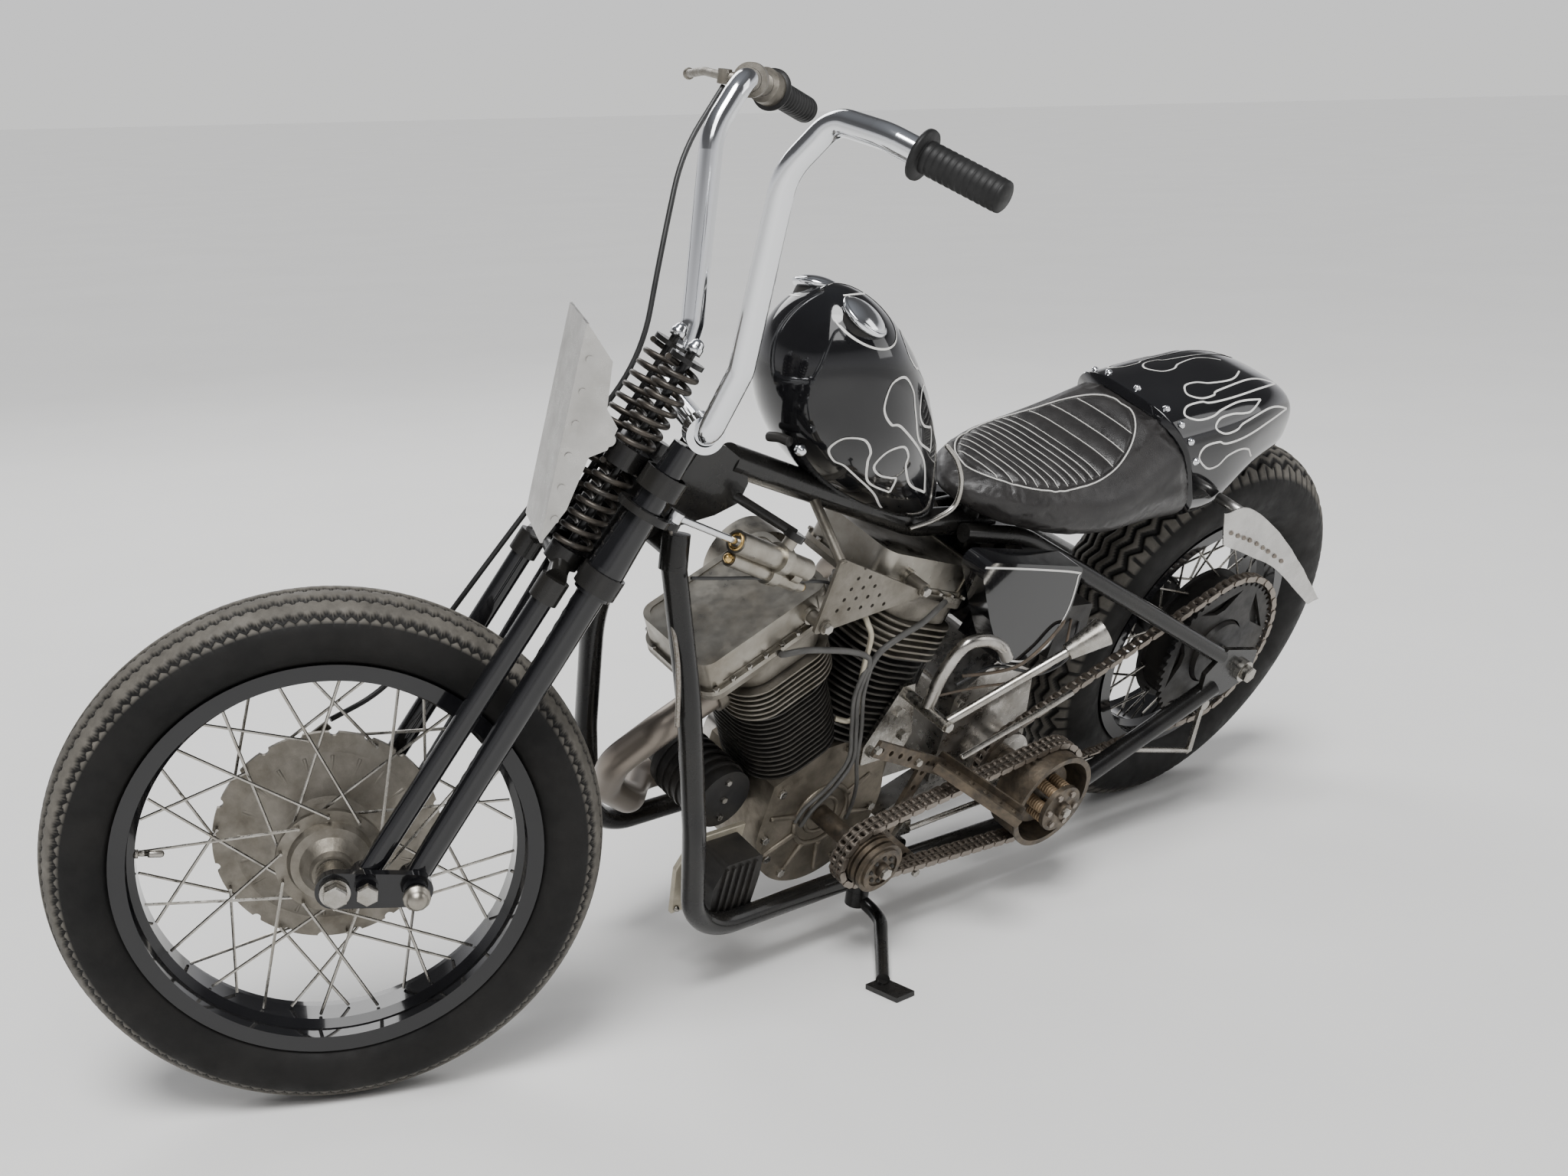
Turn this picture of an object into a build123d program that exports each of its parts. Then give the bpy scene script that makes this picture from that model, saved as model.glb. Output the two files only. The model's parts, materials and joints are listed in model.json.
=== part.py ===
from build123d import *
import math
import os

# A rigid-frame V-twin chopper with a springer fork, parked on its side stand and leaning to its left.
# Millimetres. Each piece is drawn on the upright motorcycle: X forward, Y to the rider's left, Z up,
# with the rear axle above X = 0. Then the fork group is turned about the steering axis, and the whole
# is leaned onto the stand. The finished origin is the middle of the underside of the whole box.

# Stance
WHEELBASE = 1592.0
RAKE = 27.0
FORK_OFFSET = 78.0
STEER_REST = 30.4
LEAN = 21.5

# Front wheel
FRONT_R = 335.0
FRONT_TYRE_HALF = 54.0
FRONT_TREAD_CROWN = 50.0
FRONT_BEAD_R = 241.0
FRONT_RIM_HALF = 43.0
FRONT_FLANGE_R = 256.0
FRONT_SPOKES = 40
BRAKE_FLANGE_R = 138.0
BRAKE_DRUM_R = 120.0
LEFT_FLANGE_R = 66.0
HUB_SCALLOPS = 20

# Rear wheel
REAR_R = 340.0
REAR_TYRE_HALF = 66.0
REAR_TREAD_CROWN = 60.0
REAR_BEAD_R = 203.0
REAR_RIM_HALF = 50.0
REAR_FLANGE_R = 219.0
REAR_SPOKES = 40
REAR_DRUM_R = 112.0
SPOKE_D = 4.0
ELBOW = 5.5
RIM_WALL = 5.0

# Axles and bearings
AXLE_D = 20.0
RUNNING_FIT = 0.05
FRONT_AXLE_HALF = 122.0
REAR_AXLE_HALF = 166.0

# Springer fork, in distances along the steering axis, ahead of it and to the side
LEG_Y = 86.0
LEG_D = 30.0
SLEEVE_D = 46.0
SPRING_LEG_D = 27.0
ROCKER_THICK = 12.0
ROCKER_GAP = 0.5
LOWER_TREE_S = 470.0
TOP_TREE_S = 606.0
TREE_THICK = 26.0
SPRING_AHEAD = 40.0
SPRING_Y = 45.0
SPRING_COIL_D = 50.0
SPRING_WIRE_D = 7.0
LOWER_TURNS = 6
UPPER_TURNS = 7
SPRING_ROD_D = 11.0
YOKE_S = 470.0
SPRING_TOP_S = 735.0
STEM_D = 26.0

# Handlebar
BAR_D = 30.0
BAR_S = 680.0
BAR_AHEAD = -10.0
GRIP_D = 36.0
GRIP_LENGTH = 104.0

# Frame
TUBE_D = 32.0
BACKBONE_D = 40.0
NECK_D = 56.0
NECK_LOW_S = 490.0
NECK_HIGH_S = 588.0
RAIL_Y = 125.0
RAIL_Z = 142.0
AXLE_PLATE_Y = 150.0
AXLE_PLATE_THICK = 9.0

# Engine
CRANK_X = 838.0
CRANK_Z = 235.0
FRONT_TILT = 26.5
REAR_TILT = -18.5
CASE_HALF = 72.0
CYLINDER_D = 152.0
BARREL_D = 98.0
HEAD_WIDE = 168.0
FIN_PITCH = 10.0
FIN_THICK = 3.0
CYLINDER_BASE = 122.0
CYLINDER_TOP = 266.0
HEAD_TOP = 358.0
COVER_HIGH = 56.0
COVER_LONG = 214.0
COVER_LEFT = 62.0
COVER_RIGHT = -84.0
COVER_LIP = 5.0
FRONT_COVER_AHEAD = 16.0
REAR_COVER_AHEAD = 34.0

# Drive
PRIMARY_Y = 168.0
CLUTCH_X = 480.0
CLUTCH_Z = 245.0
CLUTCH_D = 154.0
CLUTCH_DEEP = 52.0
CLUTCH_POSTS = 6
CLUTCH_PLATE_D = 78.0
PULLEY_D = 80.0
PULLEY_RIBS = 5
CHAIN_Y = 93.0
CHAIN_PITCH_R = 140.0
GEARBOX_SPROCKET_R = 58.0
CHAIN_WIDE = 18.0
CHAIN_HIGH = 13.0
SPROCKET_TEETH = 52
SPROCKET_THICK = 7.0
SPROCKET_WINDOWS = 5
TOOTH_GAP = 1.0
STRAP_HOLE_D = 9.0
PEG_HOLES = 6

# Bodywork: the tank is an egg about a tilted line, and the seat and tail follow sections along X
TANK_X = 872.0
TANK_Z = 859.0
TANK_TILT = 49.0
TANK_HALF_LONG = 234.0
TANK_HALF_WIDE = 99.0
TANK_OVER = 60.0
TANK_UNDER = 126.0
TANK_FULL = 0.5
TANK_STATIONS = (-0.985, -0.86, -0.55, -0.1, 0.35, 0.7, 0.92, 0.993)
CAP_X = 995.0
CAP_Y = 42.0
CAP_Z = 1022.0
CAP_D = 68.0
TAIL_GAP = 12.0
TAIL_SEAM_TOP_X = 338.0
TAIL_SEAM_LOW_X = 236.0
SEAM_TOP_Z = 813.0
SEAM_LOW_Z = 640.0
SEAM_GAP = 0.3

# Steering damper
DAMPER_S = 578.0
LUG_BACK = -38.0
LUG_Y = 78.0
CLAMP_BACK = -215.0
CLAMP_Y = 80.0
DAMPER_BODY_D = 30.0
DAMPER_ROD_D = 9.0
STUD_D = 12.0
STUD_GAP = 0.5

# Side stand
STAND_PIVOT = (760.0, 120.0, 92.0)
STAND_FOOT_FORWARD = 883.0
STAND_FOOT_OUT = 341.0
STAND_D = 20.0
STAND_TURN = 103.0
STAND_EYE_D = 34.0
FOOT_THICK = 7.0


RAKE_SIN = math.sin(math.radians(RAKE))
RAKE_COS = math.cos(math.radians(RAKE))
AXIS_UP = Vector(-RAKE_SIN, 0, RAKE_COS)
AXIS_AHEAD = Vector(RAKE_COS, 0, RAKE_SIN)
FRONT_CENTRE = Vector(WHEELBASE, 0, FRONT_R)
AXIS_FOOT = FRONT_CENTRE - AXIS_AHEAD * FORK_OFFSET
REAR_CENTRE = Vector(0, 0, REAR_R)


def on_fork(along, ahead, side):
    """A point given along the steering axis, ahead of it and to the left of it."""
    return AXIS_FOOT + AXIS_UP * along + AXIS_AHEAD * ahead + Vector(0, side, 0)


def rod(start, end, diameter):
    """A round bar from one point to another."""
    start = Vector(*start)
    end = Vector(*end)
    plane = Plane(origin=start, z_dir=end - start)
    return extrude(plane * Circle(diameter / 2), (end - start).length)


def ring(start, end, outer, inner):
    """A round collar with a bore, from one point to another."""
    start = Vector(*start)
    end = Vector(*end)
    plane = Plane(origin=start, z_dir=end - start)
    face = plane * (Circle(outer / 2) - Circle(inner / 2))
    return extrude(face, (end - start).length)


def cone(start, end, start_d, end_d):
    """A tapered round bar from one point to another."""
    start = Vector(*start)
    end = Vector(*end)
    low = Plane(origin=start, z_dir=end - start) * Circle(start_d / 2)
    high = Plane(origin=end, z_dir=end - start) * Circle(end_d / 2)
    return loft([low, high])


def bent_tube(points, radii, diameter):
    """A round tube through points, with a bend radius at each corner."""
    if len(points) == 2:
        return rod(points[0], points[1], diameter)
    path = FilletPolyline(*points, radius=radii)
    plane = Plane(origin=path @ 0, z_dir=path % 0)
    return sweep(plane * Circle(diameter / 2), path)


def across(x, z, low_y, high_y, diameter):
    """A round bar that lies across the motorcycle."""
    return rod((x, low_y, z), (x, high_y, z), diameter)


def side_plate_solid(points, low_y, high_y, corner=0.0):
    """A plate cut from an outline of (x, z) points and standing between two side distances."""
    face = Plane.XZ * make_face(Polyline(*points, close=True))
    solid = extrude(face, -(high_y - low_y)).translate((0, low_y, 0))
    if corner > 0:
        solid = fillet(solid.edges().filter_by(Axis.Y), corner)
    return solid


def mirrored(solid):
    """The same piece on the other side of the motorcycle."""
    return solid.mirror(Plane.XZ)


def group(*pieces):
    """Several solids kept apart in one piece."""
    solids = []
    for piece in pieces:
        solids.extend(piece.solids())
    return Compound(solids)


def wheel_piece(profile, centre):
    """A round piece from half a section of (side, radius) points, turned about the wheel's axle."""
    face = Plane.YZ * make_face(Polyline(*profile, close=True))
    return revolve(face, Axis.Y, 360).translate(centre)


def tyre(outer_r, half, crown, bead_r, flange_r, rim_half, centre):
    """A tyre whose sidewalls bulge past its rim and whose tread is a shallow arc."""
    bead_half = rim_half - RIM_WALL
    shoulder_r = outer_r - 0.16 * (outer_r - flange_r) - 10
    shoulder_half = half * 0.86
    wall_r = (flange_r + shoulder_r) / 2
    with_bead = [(-bead_half, flange_r), (-bead_half, bead_r), (bead_half, bead_r), (bead_half, flange_r)]
    edges = Polyline(*with_bead)
    edges += ThreePointArc((bead_half, flange_r), (half, wall_r), (shoulder_half, shoulder_r))
    edges += ThreePointArc((shoulder_half, shoulder_r), (0, outer_r), (-shoulder_half, shoulder_r))
    edges += ThreePointArc((-shoulder_half, shoulder_r), (-half, wall_r), (-bead_half, flange_r))
    face = Plane.YZ * make_face(edges)
    return revolve(face, Axis.Y, 360).translate(centre)


def rim(bead_r, half, flange_r, centre):
    """A spoked rim: two flanges, two bead seats and a dropped middle."""
    inner = bead_r - RIM_WALL
    drop = 10.0
    well = half * 0.32
    slope = half * 0.46
    lip = half - RIM_WALL
    upper = [(-half, flange_r), (-lip, flange_r), (-lip, bead_r), (-slope, bead_r), (-well, bead_r - drop)]
    upper += [(well, bead_r - drop), (slope, bead_r), (lip, bead_r), (lip, flange_r), (half, flange_r)]
    lower = [(half, inner), (slope + 4, inner - 1), (well + 2, inner - drop)]
    lower += [(-well - 2, inner - drop), (-slope - 4, inner - 1), (-half, inner)]
    return wheel_piece(upper + lower, centre)


def spokes(count, rim_r, rim_half, flanges, centre):
    """Crossed wire spokes, each a six-sided wire from its elbow at a hub flange to the rim."""
    wires = []
    step = 360.0 / count
    for index in range(count):
        side, flange_y, flange_half, flange_r, lead = flanges[index % 2]
        turn = 1 if (index // 2) % 2 == 0 else -1
        rim_angle = math.radians(index * step)
        hub_angle = rim_angle + turn * math.radians(lead)
        hub_x = flange_r * math.cos(hub_angle)
        hub_z = flange_r * math.sin(hub_angle)
        seat_y = flange_y + turn * (flange_half + 0.05)
        hub_y = seat_y + turn * (SPOKE_D / 2 + ELBOW)
        hub_point = Vector(hub_x, hub_y, hub_z)
        rim_point = Vector(rim_r * math.cos(rim_angle), side * rim_half, rim_r * math.sin(rim_angle))
        plane = Plane(origin=hub_point, z_dir=rim_point - hub_point)
        wire = extrude(plane * RegularPolygon(SPOKE_D / 2, 6), (rim_point - hub_point).length)
        elbow_plane = Plane(origin=(hub_x, seat_y, hub_z), z_dir=(0, turn, 0))
        wire += extrude(elbow_plane * RegularPolygon(SPOKE_D / 2, 6), abs(hub_y - seat_y) + SPOKE_D / 2)
        wires.append(wire.translate(centre))
    return group(*wires)


def settle():
    """The small pitch and the rise that put both leaned tyres on the ground, found step by step."""
    turned = FRONT_CENTRE - AXIS_FOOT
    turned = turned.rotate(Axis((0, 0, 0), AXIS_UP), -STEER_REST) + AXIS_FOOT
    front_normal = Vector(0, 1, 0).rotate(Axis((0, 0, 0), AXIS_UP), -STEER_REST)
    pitch = 0.0
    for _ in range(8):
        lows = []
        wheels = ((turned, front_normal, FRONT_R, FRONT_TREAD_CROWN),
                  (REAR_CENTRE, Vector(0, 1, 0), REAR_R, REAR_TREAD_CROWN))
        for centre, normal, radius, crown in wheels:
            centre = centre.rotate(Axis((0, 0, REAR_R), (0, 1, 0)), pitch).rotate(Axis.X, -LEAN)
            normal = normal.rotate(Axis.Y, pitch).rotate(Axis.X, -LEAN)
            reach = (radius - crown) * math.sqrt(1 - normal.Z ** 2) + crown
            lows.append(centre.Z - reach)
        pitch += math.degrees((lows[0] - lows[1]) / WHEELBASE)
    return pitch, -lows[1]


PITCH, RISE = settle()
STEER_AXIS = Axis(AXIS_FOOT, AXIS_UP)


def park(shape):
    """Leans and settles a piece of the upright motorcycle onto the ground."""
    turned = shape.rotate(Axis((0, 0, REAR_R), (0, 1, 0)), PITCH).rotate(Axis.X, -LEAN)
    return turned.translate((0, 0, RISE))


def park_point(point):
    """The same move for a single point."""
    moved = Vector(*point) - REAR_CENTRE
    moved = moved.rotate(Axis.Y, PITCH) + REAR_CENTRE
    return moved.rotate(Axis.X, -LEAN) + Vector(0, 0, RISE)


def steer(shape):
    """Turns a fork piece to the right, to where the steering rests."""
    return shape.rotate(STEER_AXIS, -STEER_REST)


fork_parts = {}
frame_parts = {}
ground_parts = {}
front_wheel_nodes = ("front_tyre", "front_rim", "front_spokes", "front_hub")


# Front wheel
bore_d = AXLE_D + 2 * RUNNING_FIT
hub_profile = [(-58, 30), (-58, BRAKE_DRUM_R), (-42, BRAKE_DRUM_R), (-42, BRAKE_FLANGE_R)]
hub_profile += [(-36, BRAKE_FLANGE_R), (-36, BRAKE_DRUM_R - 8), (-22, 60), (-12, 38), (26, 36)]
hub_profile += [(26, LEFT_FLANGE_R), (34, LEFT_FLANGE_R), (34, 52), (44, 48), (48, 38), (62, 27), (70, 24)]
hub_profile += [(70, bore_d / 2), (-50, bore_d / 2), (-50, 30)]
front_hub = wheel_piece(hub_profile, FRONT_CENTRE)
for index in range(HUB_SCALLOPS):
    angle = 2 * math.pi * index / HUB_SCALLOPS
    scallop_x = FRONT_CENTRE.X + (BRAKE_FLANGE_R + 1) * math.cos(angle)
    scallop_z = FRONT_CENTRE.Z + (BRAKE_FLANGE_R + 1) * math.sin(angle)
    front_hub -= across(scallop_x, scallop_z, -44, -34, 12)
    rib_in = (FRONT_CENTRE.X + 62 * math.cos(angle), -27, FRONT_CENTRE.Z + 62 * math.sin(angle))
    rib_out = (FRONT_CENTRE.X + 108 * math.cos(angle), -36, FRONT_CENTRE.Z + 108 * math.sin(angle))
    front_hub += rod(rib_in, rib_out, 5)
front_flanges = ((1, 30.0, 4.0, LEFT_FLANGE_R - 5, 48.0), (-1, -39.0, 3.0, BRAKE_FLANGE_R - 5, 32.0))
front_rim_inner = FRONT_BEAD_R - RIM_WALL - 12
fork_parts["front_tyre"] = tyre(FRONT_R, FRONT_TYRE_HALF, FRONT_TREAD_CROWN, FRONT_BEAD_R + 0.2,
                                FRONT_FLANGE_R + 1, FRONT_RIM_HALF, FRONT_CENTRE)
fork_parts["front_rim"] = rim(FRONT_BEAD_R, FRONT_RIM_HALF, FRONT_FLANGE_R, FRONT_CENTRE)
fork_parts["front_spokes"] = spokes(FRONT_SPOKES, front_rim_inner, 8.0, front_flanges, FRONT_CENTRE)
fork_parts["front_hub"] = front_hub

# Front axle, with the spacers that hold the hub between the rockers
rocker_low_y = LEG_Y + LEG_D / 2 + ROCKER_GAP
rocker_high_y = rocker_low_y + ROCKER_THICK
axle = across(WHEELBASE, FRONT_R, -FRONT_AXLE_HALF, FRONT_AXLE_HALF, AXLE_D)
axle += across(WHEELBASE, FRONT_R, 72, rocker_low_y, 40)
axle += across(WHEELBASE, FRONT_R, -rocker_low_y, -78, 40)
axle += across(WHEELBASE, FRONT_R, rocker_high_y, FRONT_AXLE_HALF - 2, 36)
axle += across(WHEELBASE, FRONT_R, -FRONT_AXLE_HALF + 2, -rocker_high_y, 36)
fork_parts["front_axle"] = axle

# Rockers: forged arms from the rigid leg's foot, past the spring leg's foot, to the axle
rigid_foot = on_fork(42, -5.5, 0)
spring_foot = Vector(1556, 0, FRONT_R + 5)


def rocker():
    """The left rocker with its two pivot bolts."""
    outline = make_hull([
        *(Pos(WHEELBASE, FRONT_R) * Circle(23)).edges(),
        *(Pos(rigid_foot.X, rigid_foot.Z) * Circle(21)).edges()])
    face = Plane.XZ * make_face(outline)
    plate = extrude(face, -ROCKER_THICK).translate((0, rocker_low_y, 0))
    plate -= across(WHEELBASE, FRONT_R, rocker_low_y - 5, rocker_high_y + 5, AXLE_D + 0.2)
    for foot in (rigid_foot, spring_foot):
        plate += across(foot.X, foot.Z, rocker_high_y, rocker_high_y + 6, 28)
        plate += across(foot.X, foot.Z, rocker_high_y, rocker_high_y + 16, 14)
    return plate


left_rocker = rocker()
fork_parts["rockers"] = group(left_rocker, mirrored(left_rocker))


def fork_legs():
    """The left rigid leg, which carries the sleeve up to the top tree, and the left spring leg."""
    low = on_fork(42, -5.5, LEG_Y)
    knee = on_fork(LOWER_TREE_S - 18, 0, LEG_Y)
    top = on_fork(BAR_S - 23.3, 0, LEG_Y)
    rigid = cone(low, knee, LEG_D, LEG_D + 6)
    rigid += across(low.X, low.Z, LEG_Y - 13, LEG_Y + LEG_D / 2, 36)
    rigid += rod(knee, on_fork(LOWER_TREE_S + 18, 0, LEG_Y), SLEEVE_D)
    rigid += cone(on_fork(LOWER_TREE_S + 18, 0, LEG_Y), top, SLEEVE_D, LEG_D)
    foot = Vector(spring_foot.X, LEG_Y, spring_foot.Z)
    cup = on_fork(YOKE_S - 52, 46, LEG_Y)
    spring = rod(foot, cup, SPRING_LEG_D)
    spring += across(foot.X, foot.Z, LEG_Y - 13, LEG_Y + LEG_D / 2, 32)
    return group(rigid, spring)


left_legs = fork_legs()
fork_parts["fork_legs"] = group(left_legs, mirrored(left_legs))

# Trees: the top tree carries the springs, the lower tree ties the legs, and the stem turns in the neck
def tree(along, spread, with_perch):
    """A flat forging between the two rigid legs."""
    plane = Plane(origin=on_fork(along - TREE_THICK / 2, 0, 0), x_dir=(0, 1, 0), z_dir=AXIS_UP)
    sign = 1.0 if plane.y_dir.X > 0 else -1.0
    outline = Rectangle(2 * spread, 28) + Circle(25)
    outline += Pos(spread, 0) * Circle(SLEEVE_D / 2 + 4) + Pos(-spread, 0) * Circle(SLEEVE_D / 2 + 4)
    if with_perch:
        outline += Pos(0, sign * SPRING_AHEAD) * Rectangle(2 * SPRING_Y, 34)
        outline += Pos(0, sign * SPRING_AHEAD / 2) * Rectangle(70, SPRING_AHEAD)
        outline += Pos(SPRING_Y, sign * SPRING_AHEAD) * Circle(24)
        outline += Pos(-SPRING_Y, sign * SPRING_AHEAD) * Circle(24)
    solid = extrude(plane * outline, TREE_THICK)
    for side in (-1, 1):
        solid -= rod(on_fork(along - 40, 0, side * spread), on_fork(along + 40, 0, side * spread), SLEEVE_D + 1)
        if with_perch:
            solid -= rod(on_fork(along - 40, SPRING_AHEAD, side * SPRING_Y),
                         on_fork(along + 40, SPRING_AHEAD, side * SPRING_Y), SPRING_ROD_D + 1)
    return solid


crowns = tree(TOP_TREE_S, LEG_Y, True) + tree(LOWER_TREE_S, LEG_Y, False)
crowns += rod(on_fork(LOWER_TREE_S, 0, 0), on_fork(TOP_TREE_S + 30, 0, 0), STEM_D)
lug_plane = Plane(origin=on_fork(DAMPER_S - 15, 0, 0), x_dir=(0, 1, 0), z_dir=AXIS_UP)
lug_back = LUG_BACK if lug_plane.y_dir.X > 0 else -LUG_BACK
lug = Pos(LUG_Y, lug_back) * Circle(12) + Pos(LEG_Y, 0) * Circle(34)
lug += Pos((LUG_Y + LEG_Y) / 2, lug_back / 2) * Rectangle(24, abs(LUG_BACK))
lug = extrude(lug_plane * lug, 9)
lug -= rod(on_fork(DAMPER_S - 60, 0, LEG_Y), on_fork(DAMPER_S + 60, 0, LEG_Y), SLEEVE_D + 0.4)
crowns = group(crowns, lug)
fork_parts["fork_crowns"] = crowns

# Spring yoke: the forging that ties the spring legs together and carries the spring rods
yoke = rod(on_fork(YOKE_S - 10, SPRING_AHEAD, -SPRING_Y), on_fork(YOKE_S - 10, SPRING_AHEAD, SPRING_Y), 24)
for side in (-1, 1):
    cup_top = on_fork(YOKE_S - 22, 46, side * LEG_Y)
    yoke += rod(on_fork(YOKE_S - 51.7, 46, side * LEG_Y), cup_top, 36)
    yoke += cone(cup_top, on_fork(YOKE_S - 8, SPRING_AHEAD, side * SPRING_Y), 26, 24)
    yoke += rod(on_fork(YOKE_S - 12, SPRING_AHEAD, side * SPRING_Y),
                on_fork(SPRING_TOP_S + 14, SPRING_AHEAD, side * SPRING_Y), SPRING_ROD_D)
    yoke += rod(on_fork(YOKE_S - 12, SPRING_AHEAD, side * SPRING_Y),
                on_fork(YOKE_S + 10, SPRING_AHEAD, side * SPRING_Y), 44)
    yoke += rod(on_fork(SPRING_TOP_S, SPRING_AHEAD, side * SPRING_Y),
                on_fork(SPRING_TOP_S + 6, SPRING_AHEAD, side * SPRING_Y), 44)
fork_parts["spring_yoke"] = yoke


def coil(low_s, high_s, turns, side):
    """One fork spring: a round wire wound between its two seats."""
    radius = (SPRING_COIL_D - SPRING_WIRE_D) / 2
    rise = high_s - low_s - SPRING_WIRE_D
    start = on_fork(low_s + SPRING_WIRE_D / 2, SPRING_AHEAD, side * SPRING_Y)
    path = Helix(rise / turns, rise, radius, center=start, direction=AXIS_UP)
    plane = Plane(origin=path @ 0, z_dir=path % 0)
    return sweep(plane * Circle(SPRING_WIRE_D / 2), path, is_frenet=True)


lower_low = YOKE_S + 10.3
lower_high = TOP_TREE_S - TREE_THICK / 2 - 0.3
upper_low = TOP_TREE_S + TREE_THICK / 2 + 0.3
upper_high = SPRING_TOP_S - 0.3
coils = []
for side in (-1, 1):
    coils.append(coil(lower_low, lower_high, LOWER_TURNS, side))
    coils.append(coil(upper_low, upper_high, UPPER_TURNS, side))
fork_parts["fork_springs"] = group(*coils)

# Front brake plate, with its arm and its anchor strut on the right
plate_y = -60.5


def at_front_hub(ahead, up):
    """An (x, z) point given from the front wheel's centre."""
    return (FRONT_CENTRE.X + ahead, FRONT_CENTRE.Z + up)


hub_x, hub_z = at_front_hub(0, 0)
brake_plate = ring((hub_x, plate_y - 6, hub_z), (hub_x, plate_y, hub_z), 2 * BRAKE_DRUM_R - 8, AXLE_D + 0.4)
brake_plate += ring((hub_x, plate_y - 12, hub_z), (hub_x, plate_y - 6, hub_z), 150, 90)
brake_plate += ring((hub_x, -77.5, hub_z), (hub_x, plate_y, hub_z), 36, AXLE_D + 0.4)
anchor = [at_front_hub(-52, 65), at_front_hub(-62, 105), at_front_hub(-72, 101), at_front_hub(-77, 60)]
brake_plate += side_plate_solid(anchor, plate_y - 6, plate_y)
cam_x, cam_z = at_front_hub(58, 90)
brake_plate += rod((cam_x, plate_y - 3, cam_z), (cam_x, plate_y - 14, cam_z), 18)
arm = [at_front_hub(50, 97), at_front_hub(8, 135), at_front_hub(0, 127), at_front_hub(58, 81)]
brake_plate += side_plate_solid(arm, plate_y - 18, plate_y - 13)
fork_parts["brake_plate"] = brake_plate

# Number plate: a folded aluminium sheet ahead of the springs, bare on its face
sheet = 3.0


def fork_xz(along, ahead):
    """An (x, z) point given along the steering axis and ahead of it."""
    point = on_fork(along, ahead, 0)
    return (point.X, point.Z)


plate_low = fork_xz(470, 77)
plate_high = fork_xz(716, 167)
face_outline = Polyline(plate_low, (plate_low[0] - sheet, plate_low[1]), (plate_high[0] - sheet, plate_high[1]),
                        plate_high, close=True)
number_plate = extrude(Plane.XZ * make_face(face_outline), 120).translate((0, 60, 0))
flange_outline = [fork_xz(470, 76), fork_xz(716, 164), fork_xz(694, 118), fork_xz(644, 94), fork_xz(631, 71),
                  fork_xz(603, 68), fork_xz(585, 82), fork_xz(519, 71)]
number_plate += side_plate_solid(flange_outline, 60 - sheet, 60)
number_plate += side_plate_solid(flange_outline, -60, -60 + sheet)
for along, ahead in ((500, 82.5), (536, 95.5), (572, 108.5), (608, 121.5), (644, 134.5), (680, 147.5)):
    rib = on_fork(along, ahead, 0)
    number_plate += rod((rib.X - 6, 59, rib.Z), (rib.X - 6, 62.5, rib.Z), 9)
for side in (-1, 1):
    number_plate += rod(on_fork(TOP_TREE_S + 8, 72, side * 58), on_fork(TOP_TREE_S + 8, 72, side * 50), 16)
fork_parts["number_plate"] = number_plate

# Handlebar: a tall bar clamped on top of the rigid legs
clamp = on_fork(BAR_S, BAR_AHEAD, 0)


def at_clamp(ahead, side, up):
    """A point given from the middle of the handlebar's clamps."""
    return clamp + Vector(ahead, side, up)


grip_start = at_clamp(-109.9, 280, 370)
grip_end = at_clamp(-206.9, 375, 331)
bar_points = [at_clamp(0, -1, 0), at_clamp(0, 104, 0), at_clamp(-24.9, 128, 84), at_clamp(-35.9, 176, 313)]
bar_points += [at_clamp(-74.9, 205, 375), grip_start, grip_end]
left_bar = bent_tube(bar_points, [24, 36, 90, 40, 60], BAR_D)
handlebar = left_bar + mirrored(left_bar)
for side in (-1, 1):
    low_y = side * LEG_Y - 13
    handlebar += ring((clamp.X, low_y, clamp.Z), (clamp.X, low_y + 26, clamp.Z), 46, BAR_D - 2)
fork_parts["handlebar"] = handlebar

grip_way = (grip_end - grip_start).normalized()
grip_to = grip_end + grip_way * 3
left_grip = ring(grip_to - grip_way * GRIP_LENGTH, grip_to, GRIP_D, BAR_D + 0.4)
left_grip += rod(grip_to - grip_way * 2, grip_to + grip_way * 2, GRIP_D)
left_grip += ring(grip_to - grip_way * GRIP_LENGTH, grip_to - grip_way * (GRIP_LENGTH - 6), 56, BAR_D + 0.4)
fork_parts["grips"] = group(left_grip, mirrored(left_grip))

# Right-hand controls: the lever's perch, its lever and the throttle housing
housing_way = Vector(grip_way.X, -grip_way.Y, grip_way.Z)
housing_start = Vector(grip_to.X, -grip_to.Y, grip_to.Z) - housing_way * (GRIP_LENGTH + 20.5)
control = ring(housing_start, housing_start + housing_way * 20, 46, BAR_D + 0.4)
perch_at = at_clamp(-95.2, -248.4, 372.1)
perch_way = Vector(-0.422, -0.903, -0.06).normalized()
perch_out = Vector(0.906, -0.42, 0).normalized()
perch = ring(perch_at - perch_way * 8, perch_at + perch_way * 8, 44, BAR_D + 0.4)
lever_root = perch_at + perch_out * 34
perch += rod(perch_at + perch_out * 19, lever_root, 14)
perch += rod(lever_root + Vector(0, 0, -9), lever_root + Vector(0, 0, 9), 18)
lever_end = at_clamp(-53.9, -420, 359)
perch += bent_tube([lever_root, at_clamp(-52.9, -330, 371), lever_end], [120], 11) + Sphere(8).translate(lever_end)
control = group(control, perch)
fork_parts["brake_lever"] = control

# Front brake cable: from the lever down the bar and the right leg to the brake arm
fork_cable_points = [at_clamp(-63.9, -262, 360.2), at_clamp(-8.9, -214, 279), at_clamp(17.1, -160, 159)]
fork_cable_points += [on_fork(698.8, 39, -126), on_fork(569, 51.4, -116), on_fork(415.9, 65.4, -116)]
fork_cable_points += [on_fork(263.8, 77.7, -116), on_fork(168.9, 101.2, -104), on_fork(121.2, 142, -78)]


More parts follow.
